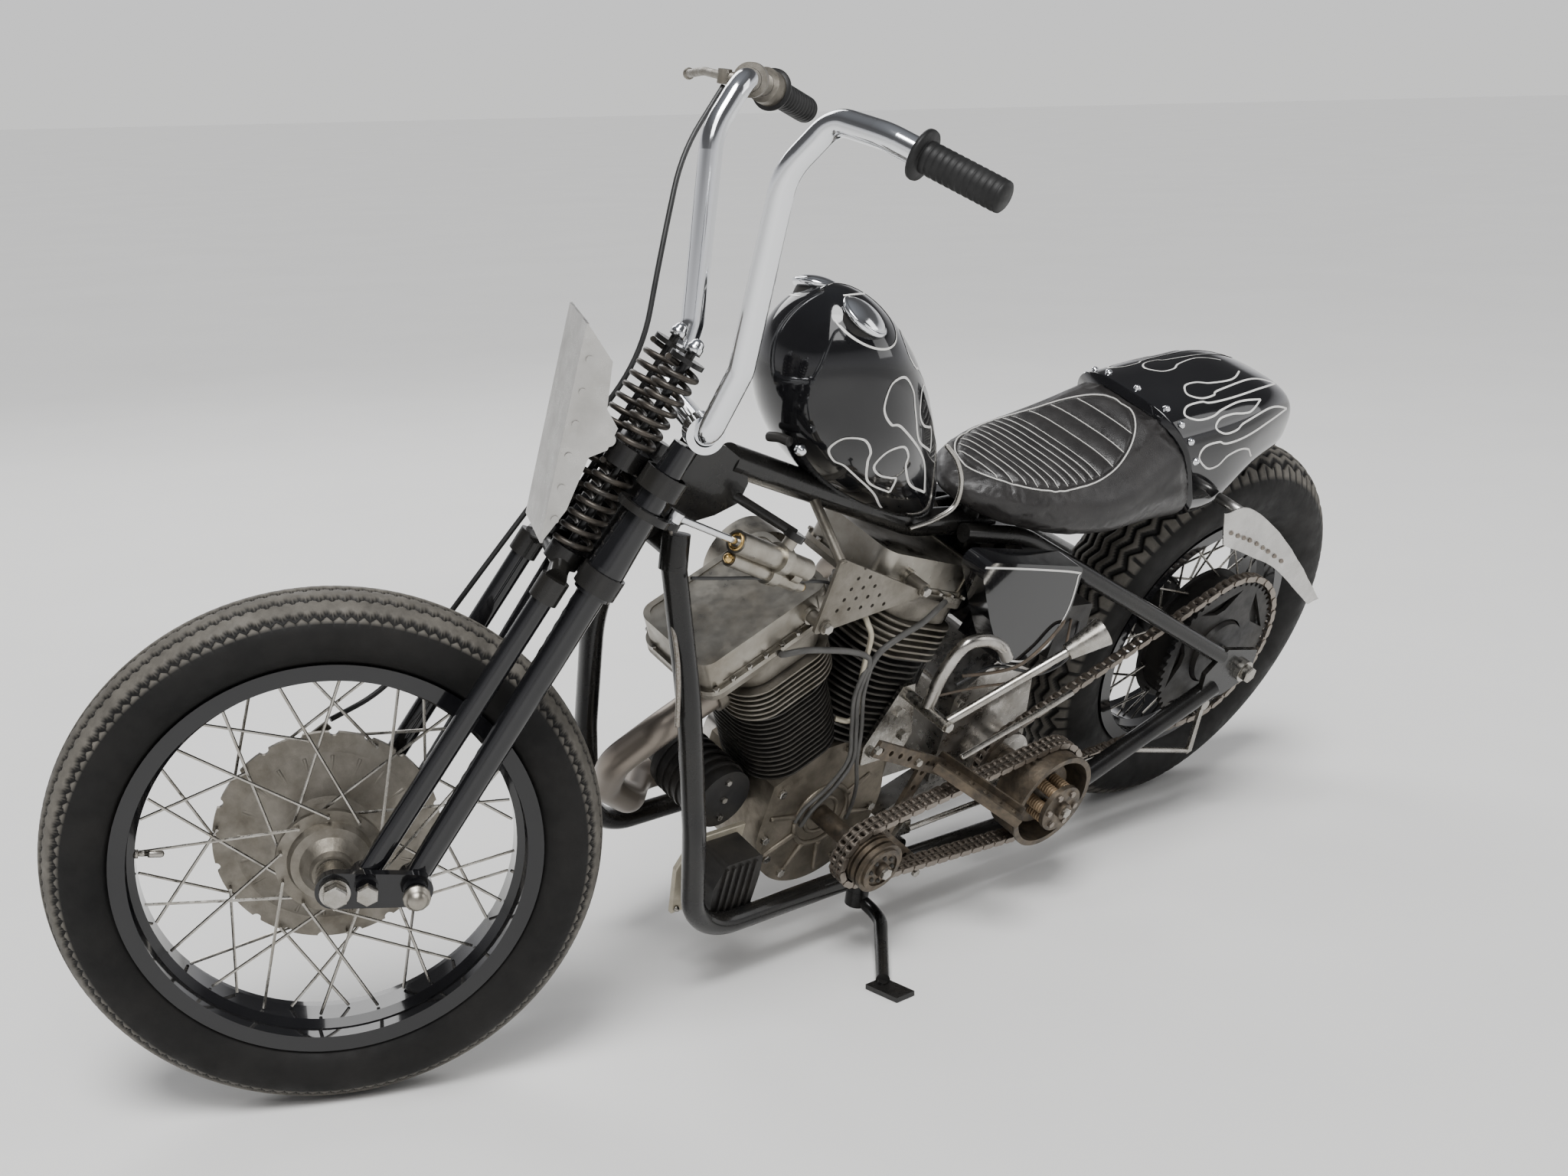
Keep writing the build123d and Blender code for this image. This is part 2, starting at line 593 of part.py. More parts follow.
def cord(points, diameter):
    """A cable whose bends are as large as its runs allow."""
    radii = []
    for before, here, after in zip(points, points[1:], points[2:]):
        run_in = here - before
        run_out = after - here
        turn = math.radians(run_in.get_angle(run_out))
        radii.append(0.45 * min(run_in.length, run_out.length) / math.tan(turn / 2))
    return bent_tube(points, radii, diameter)


fork_parts["brake_cable"] = cord(fork_cable_points, 7)

# Frame
neck = ring(on_fork(NECK_LOW_S, 0, 0), on_fork(NECK_HIGH_S, 0, 0), NECK_D, STEM_D + 2 * RUNNING_FIT)
gusset_outline = [on_fork(along, ahead, 0) for along, ahead in
                  ((508, -20), (586, -20), (588, -46), (668, -48), (667, -86), (659, -136), (637, -159),
                   (610, -164), (583, -137), (540, -70), (508, -42))]
gusset = side_plate_solid([(corner.X, corner.Z) for corner in gusset_outline], -18, 18)
socket_left = rod(on_fork(548, -70, 38), on_fork(508.7, -84.2, 52), 36)
socket_bridge = rod(on_fork(530, -77, -44), on_fork(530, -77, 44), 30)
carrier_s = DAMPER_S + 30 + STUD_GAP
carrier = rod(on_fork(carrier_s, CLAMP_BACK, CLAMP_Y), on_fork(carrier_s + 10, CLAMP_BACK, CLAMP_Y), 28)
carrier += rod(on_fork(carrier_s + 7, -148, 8), on_fork(carrier_s + 7, CLAMP_BACK, CLAMP_Y), 13)
neck += carrier
neck += gusset + socket_bridge + socket_left + mirrored(socket_left)
neck -= rod(on_fork(NECK_LOW_S - 30, 0, 0), on_fork(NECK_HIGH_S + 30, 0, 0), STEM_D + 2 * RUNNING_FIT)
neck -= rod(on_fork(NECK_LOW_S - 40, 0, 0), on_fork(NECK_LOW_S, 0, 0), 90)
backbone_path = [on_fork(651.8, -119.6, 0), Vector(742, 0, 666), Vector(584, 0, 645)]
backbone = bent_tube(backbone_path, [150], BACKBONE_D)
neck -= backbone
backbone += rod((602, 0, 632), (684, 0, 150), TUBE_D)
backbone += rod((684, -108, 150), (684, 108, 150), TUBE_D)
seat_post_top = 690.0
seat_post = rod((630, 0, 650), (630, 0, seat_post_top), 36)
backbone += seat_post
frame_parts["steering_neck"] = neck
frame_parts["backbone"] = backbone


def downtube():
    """The left front tube: from the neck's socket down ahead of the engine and back along its rail."""
    points = [on_fork(515, -80.4, 52), on_fork(365.2, -191.6, 106), on_fork(209.7, -322.5, RAIL_Y)]
    points += [Vector(AXIS_FOOT.X - 430.5, RAIL_Y, RAIL_Z), Vector(700, RAIL_Y, RAIL_Z)]
    return bent_tube(points, [400, 300, 95], TUBE_D)


def lower_stay():
    """The left lower stay with the slotted plate that holds the axle."""
    points = [(699.5, RAIL_Y, RAIL_Z), (420, RAIL_Y + 6, RAIL_Z), (60, AXLE_PLATE_Y, REAR_R - 22)]
    stay = bent_tube(points, [260], TUBE_D)
    inner = AXLE_PLATE_Y - AXLE_PLATE_THICK / 2
    outline = [(90, REAR_R - 40), (100, REAR_R + 12), (60, REAR_R + 52), (-28, REAR_R + 32)]
    outline += [(-34, REAR_R - 22), (30, REAR_R - 44)]
    plate = side_plate_solid(outline, inner, inner + AXLE_PLATE_THICK)
    plate -= across(0, REAR_R, inner - 20, inner + 20, AXLE_D + 0.2)
    return stay + plate


def upper_stay():
    """The left upper stay, from the backbone round the seat to the axle plate."""
    points = [(668, 34.6, 656), (560, 52, 642), (64, AXLE_PLATE_Y - 4, REAR_R + 36)]
    return bent_tube(points, [160], TUBE_D - 4)


left_pieces = {"downtube": downtube() - neck, "lower_stay": lower_stay(), "upper_stay": upper_stay() - lower_stay()}
for name, piece in left_pieces.items():
    frame_parts["left_" + name] = piece
    frame_parts["right_" + name] = mirrored(piece)

rear_axle = across(0, REAR_R, -REAR_AXLE_HALF, REAR_AXLE_HALF, AXLE_D)
for side in (-1, 1):
    start = side * (AXLE_PLATE_Y + AXLE_PLATE_THICK / 2)
    rear_axle += across(0, REAR_R, min(start, start + side * 9), max(start, start + side * 9), 38)
    inner = side * 108
    outer = side * (AXLE_PLATE_Y - AXLE_PLATE_THICK / 2)
    rear_axle += across(0, REAR_R, min(inner, outer), max(inner, outer), 34)
frame_parts["rear_axle"] = rear_axle

# Rear wheel
rear_parts = {}
rear_hub_profile = [(-66, bore_d / 2), (-66, 28), (-48, 40), (-48, 62), (-40, 62), (-40, 40), (20, 40), (36, 70)]
rear_hub_profile += [(36, REAR_DRUM_R + 12), (42, REAR_DRUM_R + 12), (42, REAR_DRUM_R), (86, REAR_DRUM_R)]
rear_hub_profile += [(86, 78), (89.2, 78), (89.2, 60), (104, 56), (104, bore_d / 2)]
rear_parts["rear_hub"] = wheel_piece(rear_hub_profile, REAR_CENTRE)
rear_flanges = ((1, 39.0, 3.0, REAR_DRUM_R + 6, 20.0), (-1, -44.0, 4.0, 56.0, 48.0))
rear_rim_inner = REAR_BEAD_R - RIM_WALL - 12
rear_parts["rear_tyre"] = tyre(REAR_R, REAR_TYRE_HALF, REAR_TREAD_CROWN, REAR_BEAD_R + 0.2,
                               REAR_FLANGE_R + 1, REAR_RIM_HALF, REAR_CENTRE)
rear_parts["rear_rim"] = rim(REAR_BEAD_R, REAR_RIM_HALF, REAR_FLANGE_R, REAR_CENTRE)
rear_parts["rear_spokes"] = spokes(REAR_SPOKES, rear_rim_inner, 12.0, rear_flanges, REAR_CENTRE)


def sprocket():
    """The rear sprocket: a toothed ring bolted round the drum's outer face."""
    root_r = CHAIN_PITCH_R - 14
    tip_r = CHAIN_PITCH_R - CHAIN_HIGH / 2 - TOOTH_GAP
    points = []
    for tooth in range(SPROCKET_TEETH):
        for share, radius in ((0.0, root_r), (0.28, root_r), (0.5, tip_r), (0.78, tip_r)):
            angle = 2 * math.pi * (tooth + share) / SPROCKET_TEETH
            points.append((radius * math.cos(angle), radius * math.sin(angle)))
    face = make_face(Polyline(*points, close=True)) - Circle(61)
    for window in range(SPROCKET_WINDOWS):
        mid = 2 * math.pi * window / SPROCKET_WINDOWS
        corners = []
        for turn, radius in ((-0.12, 86), (0.12, 86), (0.44, 118), (-0.44, 118)):
            corners.append((radius * math.cos(mid + turn), radius * math.sin(mid + turn)))
        face -= make_face(Polyline(*corners, close=True))
    solid = extrude(Plane.XZ * face, SPROCKET_THICK)
    return solid.translate((0, CHAIN_Y + SPROCKET_THICK / 2, REAR_R))


rear_parts["rear_sprocket"] = sprocket()

# Chains: closed bands round their sprockets
def belt(x1, z1, r1, x2, z2, r2, side_y, wide, high):
    """A closed band round two sprockets, as tall as the chain."""
    outer = make_hull([*(Pos(x1, z1) * Circle(r1 + high / 2)).edges(), *(Pos(x2, z2) * Circle(r2 + high / 2)).edges()])
    inner = make_hull([*(Pos(x1, z1) * Circle(r1 - high / 2)).edges(), *(Pos(x2, z2) * Circle(r2 - high / 2)).edges()])
    face = make_face(outer) - make_face(inner)
    return extrude(Plane.XZ * face, wide).translate((0, side_y + wide / 2, 0))


frame_parts["rear_chain"] = belt(0, REAR_R, CHAIN_PITCH_R, CLUTCH_X, CLUTCH_Z, GEARBOX_SPROCKET_R,
                                 CHAIN_Y, CHAIN_WIDE, CHAIN_HIGH)
frame_parts["primary_chain"] = belt(CRANK_X, CRANK_Z, 48, CLUTCH_X, CLUTCH_Z, 84, PRIMARY_Y, 26, 12)

primary = across(CRANK_X, CRANK_Z, CASE_HALF, PRIMARY_Y + 20, 30)
rib_pitch = 11.0
for index in range(PULLEY_RIBS):
    low = PRIMARY_Y - 14 + index * rib_pitch
    primary += across(CRANK_X, CRANK_Z, low, low + 7, PULLEY_D)
    primary += across(CRANK_X, CRANK_Z, low + 7, low + rib_pitch, PULLEY_D - 12)
pulley_face = PRIMARY_Y - 14 + PULLEY_RIBS * rib_pitch
primary -= across(CRANK_X, CRANK_Z, pulley_face - 3, pulley_face + 5, PULLEY_D - 26)
primary += across(CRANK_X, CRANK_Z, pulley_face - 4, pulley_face + 6, 22)

# Clutch: an open drum, its hub, the spring posts and the pressure plate that they carry
drum_low = PRIMARY_Y - 14
drum_high = drum_low + CLUTCH_DEEP
clutch = across(CLUTCH_X, CLUTCH_Z, 97.3, PRIMARY_Y - 18, 50)
clutch += ring((CLUTCH_X, PRIMARY_Y - 18, CLUTCH_Z), (CLUTCH_X, PRIMARY_Y - 8, CLUTCH_Z), CLUTCH_D - 2, 40)
clutch += ring((CLUTCH_X, drum_low, CLUTCH_Z), (CLUTCH_X, drum_high, CLUTCH_Z), CLUTCH_D, CLUTCH_D - 12)
clutch += ring((CLUTCH_X, drum_high - 4, CLUTCH_Z), (CLUTCH_X, drum_high, CLUTCH_Z), CLUTCH_D + 6, CLUTCH_D - 12)
clutch += across(CLUTCH_X, CLUTCH_Z, PRIMARY_Y - 18, PRIMARY_Y + 14, 104)
post_r = CLUTCH_PLATE_D / 2 - 11
plate_low = PRIMARY_Y + 48
for index in range(CLUTCH_POSTS):
    angle = 2 * math.pi * index / CLUTCH_POSTS
    post_x = CLUTCH_X + post_r * math.cos(angle)
    post_z = CLUTCH_Z + post_r * math.sin(angle)
    clutch += across(post_x, post_z, PRIMARY_Y + 10, plate_low + 2, 15)
clutch += across(CLUTCH_X, CLUTCH_Z, plate_low, plate_low + 8, CLUTCH_PLATE_D)
clutch += across(CLUTCH_X, CLUTCH_Z, plate_low, plate_low + 16, 26)
frame_parts["primary_drive"] = group(primary, clutch)

# Engine
case = across(CRANK_X, CRANK_Z, -CASE_HALF, CASE_HALF, 236)
case += side_plate_solid([(CRANK_X - 118, CRANK_Z), (CRANK_X - 96, CRANK_Z + 128), (CRANK_X + 108, CRANK_Z + 122),
                          (CRANK_X + 118, CRANK_Z)], -CASE_HALF, CASE_HALF)


def along_cylinder(tilt, distance, side=0.0, ahead=0.0):
    """A point on a cylinder's axis, a distance out from the crankshaft."""
    angle = math.radians(tilt)
    x = CRANK_X + distance * math.sin(angle) + ahead * math.cos(angle)
    z = CRANK_Z + distance * math.cos(angle) - ahead * math.sin(angle)
    return Vector(x, side, z)


def cylinder_plane(tilt, distance):
    """The plane across a cylinder, with its X ahead and its Y to the left."""
    angle = math.radians(tilt)
    return Plane(origin=along_cylinder(tilt, distance), x_dir=(math.cos(angle), 0, -math.sin(angle)),
                 z_dir=(math.sin(angle), 0, math.cos(angle)))


def finned(tilt, low, high, fin_sketch, core_sketch):
    """A core with cooling fins stacked along it."""
    solid = extrude(cylinder_plane(tilt, low) * core_sketch, high - low)
    count = int((high - low - FIN_THICK) / FIN_PITCH) + 1
    for index in range(count):
        solid += extrude(cylinder_plane(tilt, low + index * FIN_PITCH) * fin_sketch, FIN_THICK)
    return solid


cylinder_fin = RectangleRounded(CYLINDER_D, CYLINDER_D - 4, 56)
head_fin = RectangleRounded(HEAD_WIDE, HEAD_WIDE - 12, 50)
cover_wide = COVER_LEFT - COVER_RIGHT
cover_mid = (COVER_LEFT + COVER_RIGHT) / 2
lip_high = 8.0
cylinders = []
heads = []
covers = []
for tilt, cover_ahead in ((FRONT_TILT, FRONT_COVER_AHEAD), (REAR_TILT, REAR_COVER_AHEAD)):
    cylinders.append(finned(tilt, CYLINDER_BASE, CYLINDER_TOP, cylinder_fin, Circle(BARREL_D / 2)))
    at_cover = Pos(cover_ahead, cover_mid)
    lip = at_cover * RectangleRounded(COVER_LONG + 2 * COVER_LIP, cover_wide + 2 * COVER_LIP, 26)
    box = at_cover * RectangleRounded(COVER_LONG, cover_wide, 22)
    head = finned(tilt, CYLINDER_TOP + 0.2, HEAD_TOP - 34, head_fin, RectangleRounded(130, 124, 34))
    head += extrude(cylinder_plane(tilt, HEAD_TOP - 36) * RectangleRounded(150, 132, 44), 30)
    head += extrude(cylinder_plane(tilt, HEAD_TOP - lip_high) * lip, lip_high)
    boss = Pos(-8, -80) * Rectangle(70, 40) if tilt > 0 else Pos(8, -80) * Rectangle(70, 40)
    head += extrude(cylinder_plane(tilt, CYLINDER_TOP + 6) * boss, 20)
    if tilt > 0:
        head += rod(along_cylinder(tilt, 300, 10, 50), along_cylinder(tilt, 300, 10, 96), 54)
    heads.append(head)
    cover = extrude(cylinder_plane(tilt, HEAD_TOP + 0.2) * box, COVER_HIGH)
    cover += extrude(cylinder_plane(tilt, HEAD_TOP + 0.2) * lip, lip_high)
    panel = Pos(cover_ahead, COVER_LEFT + 3) * Rectangle(COVER_LONG - 50, 9)
    cover -= extrude(cylinder_plane(tilt, HEAD_TOP + 14) * panel, COVER_HIGH - 20)
    top_panel = at_cover * RectangleRounded(COVER_LONG - 18, cover_wide - 18, 14)
    cover -= extrude(cylinder_plane(tilt, HEAD_TOP + COVER_HIGH - 1.8) * top_panel, 5)
    covers.append(cover)
brace_front = Vector(964, COVER_LEFT, 600)
brace_rear = Vector(790, COVER_LEFT, 622)
covers[0] += across(brace_front.X, brace_front.Z, COVER_LEFT - 12, COVER_LEFT + COVER_LIP, 26)
covers[1] += across(brace_rear.X, brace_rear.Z, COVER_LEFT - 12, COVER_LEFT + COVER_LIP, 26)
case -= extrude(cylinder_plane(FRONT_TILT, CYLINDER_BASE) * Rectangle(200, 200), 60)
case -= extrude(cylinder_plane(REAR_TILT, CYLINDER_BASE) * Rectangle(200, 200), 60)
case -= across(CRANK_X, CRANK_Z, CASE_HALF - 30, CASE_HALF + 10, 30)
case += side_plate_solid([(672, 200), (744, 190), (744, 262), (672, 262)], -30, 30)
case -= backbone
frame_parts["crankcase"] = case
frame_parts["cylinders"] = group(*cylinders)
frame_parts["cylinder_heads"] = group(*heads)
frame_parts["rocker_covers"] = group(*covers)

cam_chest = side_plate_solid([(CRANK_X - 88, CRANK_Z - 40), (CRANK_X - 70, CRANK_Z + 88), (CRANK_X + 92, CRANK_Z + 84),
                              (CRANK_X + 108, CRANK_Z - 30), (CRANK_X, CRANK_Z - 92)], -CASE_HALF - 34, -CASE_HALF, 14)
for tilt, ahead in ((FRONT_TILT, -30), (FRONT_TILT, 14), (REAR_TILT, -14), (REAR_TILT, 30)):
    low = along_cylinder(tilt, 84, -CASE_HALF - 18, ahead * 0.5)
    high = along_cylinder(tilt, CYLINDER_TOP + 5, -CASE_HALF - 18, ahead)
    cam_chest += rod(low, high, 19)
frame_parts["cam_cover"] = cam_chest

carb = across(CRANK_X + 21, 520, -150, -40, 42)
carb += across(CRANK_X + 21, 520, -196, -150, 128)
carb += rod((CRANK_X + 21, -125, 520), (CRANK_X + 21, -125, 456), 40)
carb += rod((CRANK_X - 20, -46, 520), (CRANK_X + 60, -46, 520), 32)
for piece in heads + cylinders:
    carb -= piece
frame_parts["carburettor"] = carb

generator_x = CRANK_X + 176
generator_z = CRANK_Z + 59
generator = across(generator_x, generator_z, -64, 44, 92)
generator += across(generator_x, generator_z, -104, -64, 60)
for index in range(6):
    low = -52 + index * 15
    generator += across(generator_x, generator_z, low, low + 4, 98)
saddle = [(CRANK_X + 100, CRANK_Z + 24), (generator_x, CRANK_Z + 24), (generator_x, generator_z)]
saddle += [(CRANK_X + 100, generator_z)]
generator += side_plate_solid(saddle, -40, 24)
generator -= case
frame_parts["generator"] = generator
regulator = side_plate_solid([(1070, 120), (976, 120), (972, 180), (972, 246), (1062, 246), (1082, 200)], 50, 56)
regulator += side_plate_solid([(1050, 130), (980, 130), (976, 200), (980, 238), (1046, 238), (1060, 200)], 56, 112, 8)
for index in range(5):
    low = 990 + index * 13
    regulator += side_plate_solid([(low, 136), (low + 4, 136), (low + 4, 232), (low, 232)], 110, 116)
frame_parts["regulator"] = regulator

front_port = along_cylinder(FRONT_TILT, 300, 10, 96.3)
rear_port = along_cylinder(REAR_TILT, 300, -HEAD_WIDE / 2 + 5.7, -51)
front_pipe = bent_tube([front_port, along_cylinder(FRONT_TILT, 300, 10, 176), (1164, -26, 352), (1142, -60, 282),
                        (1066, -84, 218), (1000, -148, 192), (640, -156, 190), (420, -192, 190), (60, -192, 196)],
                       [45, 60, 45, 60, 60, 200, 200], 44)
rear_pipe = bent_tube([rear_port, (rear_port.X, -160, rear_port.Z), (684, -192, 340), (600, -192, 256),
                       (60, -192, 256)], [40, 60, 50], 44)
frame_parts["exhaust_pipes"] = group(front_pipe, rear_pipe)

brace_y = COVER_LEFT + 26
brace = side_plate_solid([(968, 706), (982, 590), (776, 612)], brace_y, brace_y + 5, 6)
for row in range(5):
    for column in range(5 - row):
        hole_x = 950 - column * 22 - row * 8
        hole_z = 622 + row * 15 - column * 2
        brace -= across(hole_x, hole_z, brace_y - 2, brace_y + 8, 6)
brace_seat = COVER_LEFT + COVER_LIP + 0.3
brace += across(brace_front.X, brace_front.Z, brace_seat, brace_y + 8, 20)
brace += across(brace_rear.X, brace_rear.Z, brace_seat, brace_y + 8, 20)
brace += rod((962, brace_y + 3, 694), (962, 10, 750), 14)
brace -= backbone
frame_parts["head_brace"] = brace

gearbox = side_plate_solid([(600, 210), (600, 372), (520, 424), (430, 380), (400, 250), (430, 200)], -86, 60, 14)
gearbox += across(CLUTCH_X, CLUTCH_Z, 60, 84, 90)
foot = side_plate_solid([(440, 208), (440, 180), (436, 166.3), (698, 166.3), (698, 178), (598, 214)], 22, 60)
gearbox += foot + mirrored(foot)
gearbox += ring((CLUTCH_X, CHAIN_Y - 4, CLUTCH_Z), (CLUTCH_X, CHAIN_Y + 4, CLUTCH_Z), 2 * GEARBOX_SPROCKET_R - 15, 40)
gearbox += across(CLUTCH_X, CLUTCH_Z, 60, 95.7, 44)
frame_parts["gearbox"] = gearbox

jockey = rod((742, 160, 430), (566, 212, 556), 13)
jockey += cone((582, 207.5, 544), (534, 221.5, 578), 24, 44)
jockey += rod((742, 76, 430), (742, 167, 430), 18)
jockey += side_plate_solid([(716, 318), (796, 318), (800, 350), (754, 444), (730, 444), (704, 350)], 76.3, 82.3)
jockey += side_plate_solid([(746, 314), (792, 314), (792, 330), (746, 330)], CASE_HALF + 0.2, 80)
frame_parts["jockey_lever"] = jockey


def strap(start, end, wide, low_y, high_y, holes):
    """A flat strip between two (x, z) points, with a row of holes along it."""
    run = Vector(end[0] - start[0], 0, end[1] - start[1])
    edge = Vector(run.Z, 0, -run.X).normalized() * (wide / 2)
    corners = [(start[0] + edge.X, start[1] + edge.Z), (end[0] + edge.X, end[1] + edge.Z)]
    corners += [(end[0] - edge.X, end[1] - edge.Z), (start[0] - edge.X, start[1] - edge.Z)]
    solid = side_plate_solid(corners, low_y, high_y)
    for index in range(holes):
        share = (index + 0.5) / holes
        solid -= across(start[0] + run.X * share, start[1] + run.Z * share, low_y - 1, high_y + 1, STRAP_HOLE_D)
    return solid


def foot_peg(start, end):
    """A perforated channel that stands out from its bracket."""
    way = end - start
    wide = Vector(0, 0, 1).cross(way).normalized()
    section = Rectangle(38, 5) + Pos(17, 6) * Rectangle(4, 14) + Pos(-17, 6) * Rectangle(4, 14)
    peg = extrude(Plane(origin=start, x_dir=wide, z_dir=way) * section, way.length)
    normal = way.cross(wide).normalized() * 8
    for index in range(PEG_HOLES):
        middle = start + way * ((index + 0.5) / PEG_HOLES)
        for shift in (-8, 8):
            peg -= rod(middle + wide * shift - normal, middle + wide * shift + normal, STRAP_HOLE_D)
    return peg


left_controls = strap((856, 410), (660, 315), 26, 145, 151, 9)
left_controls += strap((738, 350), (782, 228), 22, 145, 151, 5)
left_controls += strap((786, 236), (712, 172), 22, 145, 151, 4)
left_controls += side_plate_solid([(700, 158.05), (738, 158.05), (738, 176), (700, 176)], 118, 151)
left_controls += foot_peg(Vector(716, 148, 346), Vector(636, 262, 300))
right_controls = side_plate_solid([(694, 158.05), (752, 158.05), (748, 352), (706, 352)], -129, -121)
right_controls += foot_peg(Vector(729, -122, 352), Vector(729, -270, 352))
frame_parts["foot_controls"] = group(left_controls, right_controls)

# Bodywork
oil_tank = side_plate_solid([(722, 668), (482, 614), (478, 540), (500, 480), (548, 456), (600, 470), (660, 560)],
                            -120, 120, 16)
oil_tank -= side_plate_solid([(760, 440), (608, 440), (576, 520), (576, 700), (760, 700)], -93, 76)
oil_tank -= side_plate_solid([(760, 380), (560, 380), (560, 760), (760, 760)], -24, 24)
for side in (-1, 1):
    oil_tank -= bent_tube([(668, side * 33, 656), (560, side * 52, 642), (64, side * 146, 376)], [160], TUBE_D - 3.4)
frame_parts["oil_tank"] = oil_tank


def tank_section(position):
    """The tank's outline across its long axis, at a share of its half length."""
    fullness = math.sqrt(1 - position ** 2) * (1 + TANK_FULL * position)
    tilt = math.radians(TANK_TILT)
    way = Vector(math.cos(tilt), 0, math.sin(tilt))
    origin = Vector(TANK_X, 0, TANK_Z) + way * (position * TANK_HALF_LONG)
    plane = Plane(origin=origin, x_dir=(0, 1, 0), z_dir=way)
    half_high = (TANK_OVER + TANK_UNDER) / 2
    return plane * Pos(0, (TANK_OVER - half_high) * fullness) * Ellipse(TANK_HALF_WIDE * fullness, half_high * fullness)


tank = loft([tank_section(position) for position in TANK_STATIONS])
tank -= bent_tube(backbone_path, [150], BACKBONE_D + 1)
cap_lean = Vector(-0.35, 0.36, 1).normalized()
cap_at = Vector(CAP_X, CAP_Y, CAP_Z)
left_cap = rod(cap_at - cap_lean * 26, cap_at + cap_lean * 9, CAP_D)
left_cap += cone(cap_at + cap_lean * 9, cap_at + cap_lean * 18, CAP_D, CAP_D - 26)
cap_well = rod(cap_at - cap_lean * 26, cap_at + cap_lean * 60, CAP_D)
tank -= cap_well + mirrored(cap_well)
frame_parts["fuel_tank"] = tank
frame_parts["tank_caps"] = group(left_cap, mirrored(left_cap))


def pad_section(x, half, low, top, corner):
    """A rounded outline across the motorcycle."""
    plane = Plane(origin=(x, 0, (low + top) / 2), x_dir=(0, 1, 0), z_dir=(-1, 0, 0))
    return plane * RectangleRounded(2 * half, top - low, corner)


seat_stations = ((690, 22, 708, 732, 11), (668, 52, 694, 743, 22), (620, 95, 676, 752, 34), (540, 128, 656, 753, 42),
                 (450, 142, 642, 762, 46), (340, 132, 634, 800, 46), (250, 122, 628, 826, 46), (160, 118, 622, 834, 46))
cowl_stations = ((430, 112, 650, 790, 44), (340, 115, 640, 813, 45), (235, 120, 615, 828, 45),
                 (113, 105, 684, 836, 44), (40, 85, 700, 822, 40), (-12, 48, 718, 778, 24), (-26, 26, 732, 758, 12))
seam_way = Vector(TAIL_SEAM_TOP_X - TAIL_SEAM_LOW_X, 0, SEAM_TOP_Z - SEAM_LOW_Z)
seam_foot = Vector(TAIL_SEAM_LOW_X, 0, SEAM_LOW_Z) - seam_way
seam_head = seam_foot + seam_way * 3
behind_seam = [(seam_foot.X, seam_foot.Z), (seam_head.X, seam_head.Z), (-400, seam_head.Z), (-400, seam_foot.Z)]
before_seam = [(seam_foot.X - SEAM_GAP, seam_foot.Z), (seam_head.X - SEAM_GAP, seam_head.Z), (900, seam_head.Z),
               (900, seam_foot.Z)]
seat = loft([pad_section(*station) for station in seat_stations])
seat -= side_plate_solid(behind_seam, -300, 300)
seat -= seat_post
seat -= bent_tube(backbone_path, [150], BACKBONE_D + 4)
for side in (-1, 1):
    seat -= bent_tube([(668, side * 34.6, 656), (560, side * 52, 642), (64, side * 146, 376)], [160], TUBE_D)
frame_parts["seat_pad"] = seat
cowl = loft([pad_section(*station) for station in cowl_stations])
cowl -= side_plate_solid(before_seam, -300, 300)
cowl -= across(0, REAR_R, -90, 90, 2 * (REAR_R + TAIL_GAP))
frame_parts["tail_cowl"] = cowl

plate_outline = [(270, 700), (196, 694), (60, 610), (-110, 470), (-80, 466), (60, 560), (240, 640)]
side_plate = side_plate_solid(plate_outline, 176, 180)
side_plate += across(200, 682, 60, 178, 16)
side_plate -= cowl
frame_parts["side_plate"] = side_plate

electrics = side_plate_solid([(477.7, 440), (477.7, 536), (410, 528), (404, 440)], 66, 108, 6)
electrics += rod((470, 90, 520), (483.5, 90, 520), 8)
frame_parts["electrics_tray"] = electrics

brake_arm = across(20, 254, 108, 130, 20)
brake_arm += side_plate_solid([(28, 258), (20, 262), (2, 154), (14, 150)], 122, 128)
brake_arm += bent_tube([(8, 124, 154), (218, 118, 210), (672, 106.5, 181)], [400], 9)
brake_arm += side_plate_solid([(660, 166.2), (694, 166.2), (682, 192), (666, 192)], 94, 102)
frame_parts["rear_brake_arm"] = brake_arm

# Damper: the body is clamped to the frame and its rod's eye hangs over the lug on the top tree
clamp_point = on_fork(DAMPER_S, CLAMP_BACK, CLAMP_Y)
lug_turned = (on_fork(DAMPER_S, LUG_BACK, LUG_Y) - AXIS_FOOT).rotate(Axis((0, 0, 0), AXIS_UP), -STEER_REST) + AXIS_FOOT
damper_way = (lug_turned - clamp_point).normalized()
body_front = clamp_point + damper_way * 95
body_rear = clamp_point - damper_way * 62
damper_body = ring(body_rear, body_front, DAMPER_BODY_D, DAMPER_ROD_D + 2 * RUNNING_FIT)
second = -AXIS_UP * 23
damper_body += rod(body_rear + second + damper_way * 8, body_front + second - damper_way * 6, 20)
damper_body += rod(body_rear + second * 0.5 + damper_way * 12, body_rear + second * 0.5 + damper_way * 30, 24)
damper_body += rod(clamp_point - damper_way * 9, clamp_point + damper_way * 9, DAMPER_BODY_D + 10)
damper_body += rod(clamp_point + second - damper_way * 9, clamp_point + second + damper_way * 9, 28)
damper_body += rod(clamp_point, clamp_point + AXIS_UP * 30, 18)
damper_body += rod(body_rear + second - damper_way * 10, body_rear + second + damper_way * 10, 14)
damper_body -= rod(body_rear + damper_way * 5, body_front + damper_way * 5, DAMPER_ROD_D + 2 * RUNNING_FIT)
damper_rod = rod(body_rear + damper_way * 102, lug_turned, DAMPER_ROD_D)
damper_rod += rod(lug_turned - AXIS_UP * (6 - STUD_GAP), lug_turned + AXIS_UP * 7, 20)

